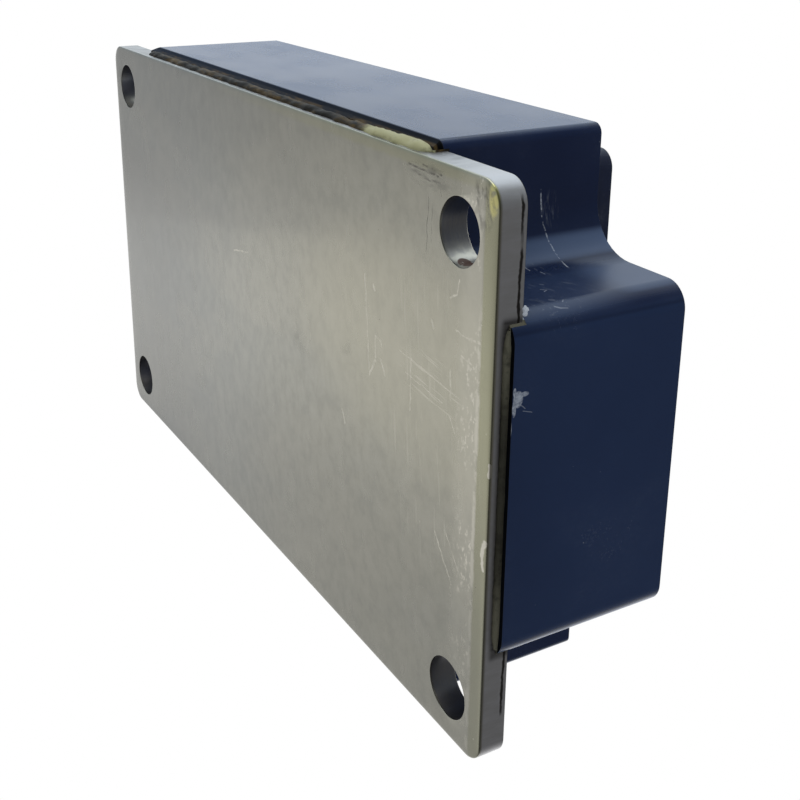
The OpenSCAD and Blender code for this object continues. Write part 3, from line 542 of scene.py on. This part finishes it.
def clear_gel(look):
    """Soft clear gel with a faint haze."""
    gel = Finish("clear_gel", look.gel, roughness=0.12, Alpha=0.4)
    haze = gel.grain(0.15, 3.0, 0.6)
    gel.set(Base_Color=gel.blend(haze, look.gel, look.gel_haze), Roughness=0.08 + haze * 0.12,
            Normal=gel.relief(haze, 0.1, 0.3))
    return gel.material


# ---- Shaping ----

def new_object(name, data):
    """Puts a new object into the scene."""
    made = bpy.data.objects.new(name, data)
    bpy.context.scene.collection.objects.link(made)
    return made


def mesh_object(shape, name, material):
    """Turns a bmesh into an object of one material."""
    mesh = bpy.data.meshes.new(name)
    shape.to_mesh(mesh)
    shape.free()
    mesh.materials.append(material)
    return new_object(name, mesh)


def finish_piece(shape, name, node, material):
    """Turns a bmesh into a piece that rides with the module and may stand for a solid."""
    bmesh.ops.recalc_face_normals(shape, faces=shape.faces)
    for face in shape.faces:
        face.smooth = True
    for edge in sharp_edges(shape, CREASE):
        edge.smooth = False
    piece = mesh_object(shape, name, material)
    weighted = piece.modifiers.new("Weighted normals", "WEIGHTED_NORMAL")
    weighted.weight = 90
    weighted.keep_sharp = True
    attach(piece, "root")
    if node:
        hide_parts(node)


def merged_copy(node):
    """A solid's mesh with its loose triangles merged and its flat faces made whole."""
    shape = bmesh.new()
    shape.from_mesh(frame["nodes"][node].data)
    bmesh.ops.remove_doubles(shape, verts=shape.verts, dist=MERGE)
    bmesh.ops.dissolve_limit(shape, angle_limit=FLAT, verts=shape.verts, edges=shape.edges)
    return shape


def sharp_edges(shape, angle):
    """The edges whose two faces meet at more than an angle."""
    return [edge for edge in shape.edges if edge.is_manifold and edge.calc_face_angle(0.0) > angle]


def rounded_piece(name, node, radius, material, segments=2):
    """Finishes a solid with all its sharp edges rounded."""
    shape = merged_copy(node)
    bmesh.ops.bevel(shape, geom=sharp_edges(shape, SHARP), offset=radius, offset_type="OFFSET",
                    segments=segments, profile=0.5, affect="EDGES", clamp_overlap=True, material=-1)
    bmesh.ops.dissolve_degenerate(shape, edges=shape.edges, dist=SLIVER)
    finish_piece(shape, name, node, material)


def dress_node(node, material):
    """Gives a carried-over solid its finish."""
    slots = frame["nodes"][node].data.materials
    slots.clear()
    slots.append(material)


def rounded_outline(shape, length, width, radius, z):
    """A flat rounded rectangle, whose corners are arcs."""
    made = bmesh.ops.create_grid(shape, x_segments=1, y_segments=1, size=0.5)
    bmesh.ops.scale(shape, vec=(length, width, 1), verts=made["verts"])
    bmesh.ops.translate(shape, vec=(0, 0, z), verts=made["verts"])
    bmesh.ops.bevel(shape, geom=made["verts"], offset=radius, offset_type="OFFSET", segments=CORNER_STEPS,
                    profile=0.5, affect="VERTICES", clamp_overlap=True, material=-1)
    return max(shape.faces, key=lambda face: face.calc_area())


def ring(shape, segments, radius, place):
    """The edges of a new circle, in a fixed order."""
    verts = bmesh.ops.create_circle(shape, segments=segments, radius=radius, matrix=place)["verts"]
    return list(dict.fromkeys(edge for vert in verts for edge in vert.link_edges))


def share(value, whole):
    """A value as a share of a whole, kept from 0 to 1."""
    return min(max(value / whole, 0.0), 1.0)


def step_in(shape, face, inset, rise):
    """Insets a face and moves it along Z, leaving a sloping rim; the face stays the inner one."""
    bmesh.ops.inset_individual(shape, faces=[face], thickness=inset, use_even_offset=True)
    bmesh.ops.translate(shape, vec=(0, 0, rise), verts=face.verts)
    return face


# ---- Sizes and colours ----

def tone(name, value, description):
    return bpy.props.FloatVectorProperty(name=name, description=description, default=value,
                                         subtype="COLOR", size=3, min=0.0, max=1.0)


def length(name, value, description):
    return bpy.props.FloatProperty(name=name, description=description, default=value * MM,
                                   unit="LENGTH", min=0.0, precision=5)


class ModuleFinishes(bpy.types.PropertyGroup):
    """Colours of the module's surfaces."""
    plate_colour: tone("Plate", (0.345, 0.335, 0.275), "Nickel plating of the baseplate")
    # Painted shade: the cool tone is also darker, for the -X end of the face.
    plate_cool_shaded: tone("Plate, cool", (0.275, 0.288, 0.278), "Bluish part of the plating")
    # Light clouds, also the painted reflection band on the face.
    plate_light_and_reflection: tone("Plate, light", (0.43, 0.42, 0.37), "Light clouds in the plating")
    # Painted light: the lighter, warmer right part of the face.
    plate_warm_lit: tone("Plate, warm", (0.50, 0.475, 0.36), "Warmer, rubbed part of the plating")
    plate_edge: tone("Plate edge", (0.33, 0.325, 0.215), "Rolled edge of the plate")
    # Also the painted highlight on the walls of the holes.
    plate_scratch_and_highlight: tone("Scratches", (0.70, 0.67, 0.58), "Fresh scratches and chips")
    plate_stain: tone("Stains", (0.13, 0.12, 0.10), "Stains and smudges")
    plate_sheared: tone("Sheared side", (0.63, 0.63, 0.655), "Sheared side of the plate")
    # Also the painted shade under the blocks' feet.
    plate_tear_and_shade: tone("Tear line", (0.03, 0.025, 0.022), "Torn line on the sheared side")
    plate_rust: tone("Rust", (0.095, 0.050, 0.034), "Brown spot in a mounting hole")
    # Painted shade on the face, and the darker tone of the mottle and the long sides.
    plate_dull_and_shade: tone("Plate, shaded", (0.20, 0.20, 0.185), "Dulled part of the plating")
    # Yellowed plating and a painted highlight on one corner.
    plate_yellow_glint: tone("Yellowed corner", (0.62, 0.58, 0.26), "Bright yellow on one corner")
    plate_bore: tone("Mounting holes", (0.25, 0.25, 0.28), "Reamed walls of the holes")
    navy: tone("Navy", (0.0040, 0.0100, 0.037), "Plastic of the housing")
    # Painted shade for the end faces' rims.
    navy_rim_shade: tone("Navy, deep", (0.0012, 0.0035, 0.018), "Darker rims of the end blocks")
    navy_light: tone("Navy, light", (0.0055, 0.0130, 0.044), "Lighter flow of the plastic")
    lid_navy: tone("Lid", (0.0055, 0.0105, 0.031), "Plastic of the lid")
    dust: tone("Dust", (0.35, 0.37, 0.40), "Dust on the plastic")
    # Dust, the sheen's tint, and a painted bluish reflection on the walls and edges.
    film_and_sheen: tone("Dust film", (0.13, 0.30, 0.66), "Film of dust on the long walls")
    # Painted shade: the near-black foot where it meets the plate.
    gap_shade: tone("Soiled foot", (0.006, 0.006, 0.006), "Dark residue along the housing's foot")
    glue_dry: tone("Dried glue", (0.42, 0.45, 0.50), "Dried glue and scuffs")
    glue_pale: tone("Adhesive, pale", (0.40, 0.39, 0.23), "Fresh end of the adhesive")
    glue_olive: tone("Adhesive, olive", (0.115, 0.11, 0.08), "Adhesive in the gaps")
    glue_amber: tone("Adhesive, amber", (0.095, 0.060, 0.018), "Aged adhesive")
    glue_brown: tone("Adhesive, brown", (0.010, 0.009, 0.007), "Darkest adhesive")
    tin: tone("Tin", (0.66, 0.655, 0.63), "Tin plating of the terminals")
    tin_dull: tone("Tin, dull", (0.44, 0.44, 0.43), "Dull patches of the tin")
    zinc: tone("Zinc", (0.60, 0.61, 0.63), "Zinc plating of the nuts")
    zinc_dull: tone("Zinc, dull", (0.40, 0.40, 0.40), "Dull patches of the zinc")
    copper: tone("Copper", (0.68, 0.33, 0.21), "Bare copper")
    copper_dull: tone("Copper, dull", (0.42, 0.20, 0.13), "Tarnished copper")
    wire: tone("Aluminium", (0.80, 0.80, 0.80), "Bond wires")
    wire_dull: tone("Aluminium, dull", (0.62, 0.62, 0.63), "Dull patches of the wires")
    solder: tone("Solder", (0.50, 0.51, 0.52), "Solder")
    solder_dull: tone("Solder, dull", (0.33, 0.34, 0.35), "Dull patches of the solder")
    ceramic: tone("Ceramic", (0.82, 0.81, 0.76), "Alumina of the substrates")
    ceramic_shade: tone("Ceramic, shade", (0.66, 0.65, 0.60), "Grain of the alumina")
    silicon: tone("Switch chip", (0.46, 0.47, 0.50), "Top metal of the switch chips")
    silicon_dark: tone("Chip lines", (0.16, 0.17, 0.20), "Lines on the chips")
    diode: tone("Diode chip", (0.36, 0.37, 0.40), "Top metal of the diode chips")
    resistor: tone("Resistor", (0.05, 0.05, 0.06), "Gate resistor chips")
    gel: tone("Gel", (0.80, 0.83, 0.80), "Silicone gel")
    gel_haze: tone("Gel haze", (0.66, 0.70, 0.66), "Haze in the gel")


class ModuleSizes(bpy.types.PropertyGroup):
    """Sizes of the modelled details."""
    housing_edge: length("Housing edges", 0.35, "Radius on the housing's edges")
    lid_edge: length("Lid edges", 0.35, "Radius on the lid's edges")
    terminal_edge: length("Terminal edges", 0.12, "Radius on the terminals' edges")
    nut_edge: length("Nut edges", 0.3, "Chamfer on the nuts")
    tab_edge: length("Tab edges", 0.08, "Radius on the signal tabs' edges")
    hole_roll: length("Hole roll", 0.06, "Rounding on the edges of the mounting holes")
    bead_lump: length("Bead lumps", 0.16, "Height of the lumps on the squeezed bead")


class StageSetup(bpy.types.PropertyGroup):
    """Camera, floor and light."""
    floor_tone: tone("Floor", (0.86, 0.86, 0.86), "Colour of the floor")
    focal: bpy.props.FloatProperty(name="Lens", description="Focal length on a 36 mm sensor",
                                   default=52.96, min=10.0)
    shift_x: bpy.props.FloatProperty(name="Shift X", description="Sideways shift", default=0.0182)
    shift_y: bpy.props.FloatProperty(name="Shift Y", description="Upward shift", default=-0.1471)
    eye: bpy.props.FloatVectorProperty(name="Camera place", description="Where the camera stands",
                                       default=(0.13039, -0.05253, -0.05565), subtype="TRANSLATION")
    turn: bpy.props.FloatVectorProperty(name="Camera turn", description="How the camera is turned",
                                        default=tuple(math.radians(a) for a in (162.360, -60.271, -0.777)),
                                        subtype="EULER")
    cool_side: tone("Cool side", (0.83, 0.925, 1.0), "Tint of the light from the -Y side")
    sky: bpy.props.FloatProperty(name="Sky", description="Strength of the even light", default=0.66)
    dim_end: bpy.props.FloatProperty(name="Dim end", description="Mirrored strength at the +X end",
                                     default=0.12)


# ---- Operators ----

class DressBaseplate(bpy.types.Operator):
    """Models the baseplate with its rolled edge and finishes it in worn nickel"""
    bl_idname = "module.dress_baseplate"
    bl_label = "Baseplate"

    def execute(self, context):
        look = context.scene.module_finishes
        sizes = context.scene.module_sizes
        shape = bmesh.new()
        size = PLATE_HIGH - PLATE_LOW
        roll = sum(drop for _, drop in PLATE_ROLL) * MM
        face = rounded_outline(shape, size.x, size.y, PLATE_CORNER, PLATE_HIGH.z)
        side = bmesh.ops.extrude_face_region(shape, geom=[face])
        face = next(item for item in side["geom"] if isinstance(item, bmesh.types.BMFace))
        bmesh.ops.translate(shape, vec=(0, 0, roll - size.z), verts=face.verts)
        for inset, drop in PLATE_ROLL:
            face = step_in(shape, face, inset * MM, -drop * MM)
        low = list(face.edges)
        top = max(shape.faces, key=lambda f: f.calc_center_median().z)
        high = list(top.edges)
        bmesh.ops.delete(shape, geom=[face, top], context="FACES_ONLY")
        self.drill(shape, low, high, sizes.hole_roll)
        nickel = worn_nickel(look)
        finish_piece(shape, "rolled_baseplate", "baseplate", nickel)
        return {"FINISHED"}

    def drill(self, shape, low, high, roll):
        """Adds the four holes' walls and closes both faces round them."""
        radius = HOLES["hole_r_mm"] * MM
        for sx in (-1, 1):
            for sy in (-1, 1):
                at = Vector((sx * HOLES["spacing_x_mm"] / 2, sy * HOLES["spacing_y_mm"] / 2, 0)) * MM
                # Each ring is turned a little, so that the rims of two holes share no line of points
                place = Matrix.Translation(at) @ Matrix.Rotation(0.01 * (2 + sx + 3 * sy), 4, "Z")
                edges = ring(shape, RING_STEPS, radius + roll, place)
                low += edges
                for step in range(1, ROLL_STEPS + 1):
                    turn = math.pi / 2 * step / ROLL_STEPS
                    edges = self.wall(shape, edges, at, radius + roll * (1 - math.sin(turn)),
                                      roll * (1 - math.cos(turn)))
                edges = self.wall(shape, edges, at, radius, PLATE_HIGH.z - roll)
                edges = self.wall(shape, edges, at, radius + roll * 0.5, PLATE_HIGH.z)
                high += edges
        for rim, facing in ((low, -1), (high, 1)):
            bmesh.ops.triangle_fill(shape, edges=rim, normal=(0, 0, facing), use_beauty=True,
                                    use_dissolve=False)

    def wall(self, shape, edges, at, radius, z):
        """Extrudes a ring of edges to a new radius and height."""
        made = bmesh.ops.extrude_edge_only(shape, edges=edges)["geom"]
        verts = [item for item in made if isinstance(item, bmesh.types.BMVert)]
        for vert in verts:
            out = Vector((vert.co.x - at.x, vert.co.y - at.y, 0)).normalized() * radius
            vert.co = Vector((at.x + out.x, at.y + out.y, z))
        return [item for item in made if isinstance(item, bmesh.types.BMEdge)]


class DressHousing(bpy.types.Operator):
    """Rounds the edges of the frame and the lid and finishes them in navy plastic"""
    bl_idname = "module.dress_housing"
    bl_label = "Housing and lid"

    def execute(self, context):
        look = context.scene.module_finishes
        sizes = context.scene.module_sizes
        rounded_piece("moulded_frame", "housing_frame", sizes.housing_edge,
                      moulded_navy(look), 3)
        rounded_piece("moulded_lid", "lid", sizes.lid_edge, lid_navy(look), 3)
        return {"FINISHED"}


class DressAdhesive(bpy.types.Operator):
    """Finishes the adhesive, with the lumpy bead squeezed out below the skirt and a crumb on a corner"""
    bl_idname = "module.dress_adhesive"
    bl_label = "Adhesive"

    def execute(self, context):
        look = context.scene.module_finishes
        material = cured_adhesive(look)
        seal = merged_copy("adhesive_seal")
        self.sag(seal, context.scene.module_sizes.bead_lump)
        finish_piece(seal, "squeezed_seal", "adhesive_seal", material)
        crumb = bmesh.new()
        bmesh.ops.create_icosphere(crumb, subdivisions=3, radius=CRUMB_RADIUS)
        for vert in crumb.verts:
            vert.co = vert.co * (1.0 + 0.7 * noise.noise(vert.co / (0.3 * MM)))
        bmesh.ops.scale(crumb, vec=(0.7, 1.0, 0.9), verts=crumb.verts)
        bmesh.ops.translate(crumb, vec=CRUMB_PLACE, verts=crumb.verts)
        finish_piece(crumb, "glue_crumb", None, material)
        return {"FINISHED"}

    def sag(self, seal, lump):
        """Rounds the bead below the skirt, lumpy on the long sides and thinner along the two ends."""
        skirt = FRAME_LOW.z
        runs = [edge for edge in seal.edges if edge.calc_length() > 20 * MM
                and max(vert.co.z for vert in edge.verts) < skirt + NEAR]
        bmesh.ops.subdivide_edges(seal, edges=runs, cuts=BEAD_CUTS)
        ribs = [edge for edge in seal.edges if max(vert.co.z for vert in edge.verts) < skirt + NEAR
                and 0.2 * MM < abs(edge.verts[0].co.z - edge.verts[1].co.z) < 0.6 * MM]
        bmesh.ops.subdivide_edges(seal, edges=ribs, cuts=2)
        tall, wide = skirt - SEAL_LOW.z, SEAL_HIGH.y - PLATE_HIGH.y
        for vert in seal.verts:
            x, y, z = vert.co
            on_end = abs(x) > PLATE_HIGH.x - NEAR
            along, across, half = (y, x, PLATE_HIGH.x) if on_end else (x, y, PLATE_HIGH.y)
            stop, stretch = BEAD_ON_END if on_end else BEAD_ON_SIDE
            if z > skirt + NEAR or abs(along) > (stop + 0.02) * MM:
                continue
            out, down = abs(across) - half, skirt - z
            if out > 0.3 * MM or down > 0.05 * MM:
                swell = self.swell(x, y, z, lump / wide, on_end)
                swell *= 0.3 + 0.7 * share(stop - abs(along) / MM, 1.6) ** 0.5
                swell /= max(((out / wide) ** 2 + (down / tall) ** 2) ** 0.5, 0.1)
                out, down = out * swell, down * swell
                if z > skirt - NEAR:
                    out = max(out, 0.24 * MM)
            side, run = math.copysign(half + out, across), along * stretch
            vert.co = (side, run, skirt - down) if on_end else (run, side, skirt - down)

    def swell(self, x, y, z, lump, on_end):
        """How far the bead stands out at a place, as a share of its usual section."""
        place = Vector((x, y, z * 2))
        push = noise.noise(place / (2.0 * MM)) * 0.9 + noise.noise(place / (0.7 * MM)) * 0.5
        if on_end:
            return 0.72 + push * 0.08
        fresh = share(x / MM - 25.0, 6.0) if y < 0 else 0.0
        return (1.0 + push * lump) * (1.0 + 0.3 * fresh)


class DressTerminals(bpy.types.Operator):
    """Rounds and finishes the power terminals, their nuts and the signal tabs"""
    bl_idname = "module.dress_terminals"
    bl_label = "Terminals, nuts and tabs"

    def execute(self, context):
        look = context.scene.module_finishes
        sizes = context.scene.module_sizes
        tin = plated_metal("tin_plate", look.tin, look.tin_dull)
        for kind in ("plus", "minus", "output"):
            rounded_piece("tinned_" + kind, "terminal_" + kind, sizes.terminal_edge,
                          tin)
        zinc = plated_metal("zinc_plate", look.zinc, look.zinc_dull, (1.0, 1.0, 2.5), 0.3)
        rounded_piece("captive_nuts", "terminal_nuts", sizes.nut_edge, zinc)
        tab_tin = plated_metal("tab_tin", look.tin, look.tin_dull, (1.0, 3.0, 0.2))
        for kind in ("gate_tab_high", "sense_tab_high", "gate_tab_low", "sense_tab_low"):
            rounded_piece("tinned_" + kind, kind, sizes.tab_edge, tab_tin)
        return {"FINISHED"}


class DressInside(bpy.types.Operator):
    """Finishes the substrates, chips, wires and gel inside the housing"""
    bl_idname = "module.dress_inside"
    bl_label = "Substrates, chips, wires and gel"

    def execute(self, context):
        look = context.scene.module_finishes
        copper = plated_metal("bare_copper", look.copper, look.copper_dull)
        wire = plated_metal("bond_wire", look.wire, look.wire_dull, (1.0, 0.4, 1.0), 0.22)
        solder = plated_metal("reflowed_solder", look.solder, look.solder_dull, (1.0, 1.0, 1.0), 0.4)
        dress_node("phase_link", copper)
        dress_node("track_links", wire)
        dress_node("silicone_gel", clear_gel(look))
        ceramic = sintered_ceramic(look)
        switch = metallised_silicon("switch_silicon", look.silicon, look.silicon_dark, 1.3)
        diode = metallised_silicon("diode_silicon", look.diode, look.silicon_dark, 9.6)
        resistor = metallised_silicon("resistor_silicon", look.resistor, look.silicon, 1.8)
        for side in ("high", "low"):
            finishes = {
                "base_solder": solder, "dbc_bottom_copper": copper, "dbc_ceramic": ceramic,
                "dbc_top_copper": copper, "chip_solder": solder, "emitter_wires": wire,
                "gate_wires": wire, "gate_resistors": resistor,
            }
            for piece, material in finishes.items():
                dress_node(f"{piece}_{side}", material)
            for column in (1, 2):
                dress_node(f"igbt_chip_{side}_{column}", switch)
                dress_node(f"diode_chip_{side}_{column}", diode)
        return {"FINISHED"}


class SetStage(bpy.types.Operator):
    """Lays the pale floor and sets the lamps, the sky and the camera"""
    bl_idname = "module.set_stage"
    bl_label = "Stage, light and camera"

    def execute(self, context):
        stage = context.scene.module_stage
        self.lay_floor(stage)
        self.light_sky(context.scene, stage)
        for name, place, aim, size, power in LAMPS:
            self.hang_lamp(name, Vector(place), Vector(aim), size, power)
        eye = bpy.data.cameras.new("eye")
        eye.sensor_width = 36.0
        eye.lens = stage.focal
        eye.shift_x = stage.shift_x
        eye.shift_y = stage.shift_y
        eye.clip_start = 0.001
        camera = new_object("eye", eye)
        camera.location = stage.eye
        camera.rotation_euler = stage.turn
        context.scene.camera = camera
        context.scene.view_settings.view_transform = "Standard"
        return {"FINISHED"}

    def lay_floor(self, stage):
        """A wide floor seen only from above, open under the middle of the plate."""
        floor = Finish("pale_floor", stage.floor_tone, roughness=0.8, Specular_IOR_Level=0.1)
        mottle = floor.grain(0.02, 2.0)
        floor.set(Roughness=0.75 + mottle * 0.1)
        ray = floor.node("ShaderNodeLightPath", every=True)
        behind = floor.node("ShaderNodeNewGeometry", every=True)["Backfacing"]
        far = (floor.x * floor.x + floor.y * floor.y).root().ramp(250.0, 1100.0)
        unseen = most([behind, ray["Is Glossy Ray"], ray["Is Shadow Ray"], far])
        clear = floor.node("ShaderNodeBsdfTransparent")
        shown = floor.node("ShaderNodeMixShader", {}, {0: unseen, 1: floor.surface, 2: clear})
        floor.put(floor.output, "Surface", shown)
        shape = bmesh.new()
        size = (PLATE_HIGH - PLATE_LOW) - Vector((FLOOR_MARGIN, FLOOR_MARGIN, 0)) * 2
        level = PLATE_LOW.z - FLOOR_DROP
        inner = rounded_outline(shape, size.x, size.y, 2.0 * MM, level)
        hole = list(inner.edges)
        bmesh.ops.delete(shape, geom=[inner], context="FACES_ONLY")
        rim = ring(shape, FLOOR_STEPS, FLOOR_RADIUS, Matrix.Translation((0, 0, level)))
        bmesh.ops.triangle_fill(shape, edges=hole + rim, use_beauty=True, use_dissolve=False)
        for face in shape.faces:
            face.normal_update()
            if face.normal.z < 0:
                face.normal_flip()
        mesh_object(shape, "pale_floor", floor.material)

    def light_sky(self, scene, stage):
        """An even pale sky, white where seen directly, and mirrored with one dimmer end."""
        world = bpy.data.worlds.new("sky")
        scene.world = world
        sky = Shading(world)
        ray = sky.node("ShaderNodeLightPath", every=True)
        course = sky.node("ShaderNodeTexCoord", every=True)["Generated"]
        along_x, along_y, along_z = sky.node("ShaderNodeSeparateXYZ", {}, {0: course}, every=True).values()
        dim = along_x.ramp(-0.35, 0.45, 1.0, stage.dim_end)
        # A brighter band crosses the mirrored light on a slant
        slant = along_y - along_x * 0.55
        band = slant.ramp(0.80, 0.94, slant.ramp(0.70, 0.79, 0.60, 1.10), 0.62)
        mirrored = dim * along_z.ramp(-0.04, -0.12, 1.15, band, "LINEAR")
        even = ray["Is Camera Ray"].most(ray["Is Transmission Ray"])
        lit = ray["Is Diffuse Ray"].ramp(0.0, 1.0, mirrored, stage.sky)
        strength = even.ramp(0.0, 1.0, lit, 1.0)
        cool = along_y.ramp(0.1, -0.35, course="LINEAR") * (1.0 - even)
        tint = sky.blend(cool, (1.0, 1.0, 1.0), stage.cool_side)
        light = sky.node("ShaderNodeBackground", {}, {"Color": tint, "Strength": strength})
        sky.put(sky.tree.nodes.new("ShaderNodeOutputWorld"), "Surface", light)

    def hang_lamp(self, name, place, aim, size, power):
        """A square soft lamp, turned towards a place."""
        light = bpy.data.lights.new(name, "AREA")
        light.size = size
        light.energy = power
        lamp = new_object(name, light)
        lamp.location = place
        lamp.rotation_euler = (aim - place).to_track_quat("-Z", "Y").to_euler()


OPERATORS = (DressBaseplate, DressHousing, DressAdhesive, DressTerminals, DressInside, SetStage)


class ModulePanel(bpy.types.Panel):
    """Lists the module's pieces and its stage"""
    bl_idname = "VIEW3D_PT_power_module"
    bl_label = "Power module"
    bl_space_type = "VIEW_3D"
    bl_region_type = "UI"
    bl_category = "Module"

    def draw(self, context):
        for operator in OPERATORS:
            self.layout.operator(operator.bl_idname)
        for group in (context.scene.module_sizes, context.scene.module_finishes, context.scene.module_stage):
            box = self.layout.box()
            for name in type(group).__annotations__:
                box.prop(group, name)


CLASSES = (ModuleFinishes, ModuleSizes, StageSetup, *OPERATORS, ModulePanel)


def register():
    for item in CLASSES:
        bpy.utils.register_class(item)
    bpy.types.Scene.module_finishes = bpy.props.PointerProperty(type=ModuleFinishes)
    bpy.types.Scene.module_sizes = bpy.props.PointerProperty(type=ModuleSizes)
    bpy.types.Scene.module_stage = bpy.props.PointerProperty(type=StageSetup)


def unregister():
    del bpy.types.Scene.module_stage
    del bpy.types.Scene.module_sizes
    del bpy.types.Scene.module_finishes
    for item in reversed(CLASSES):
        bpy.utils.unregister_class(item)


def main():
    register()
    for operator in OPERATORS:
        group, name = operator.bl_idname.split(".")
        getattr(getattr(bpy.ops, group), name)()


if __name__ == "__main__":
    main()
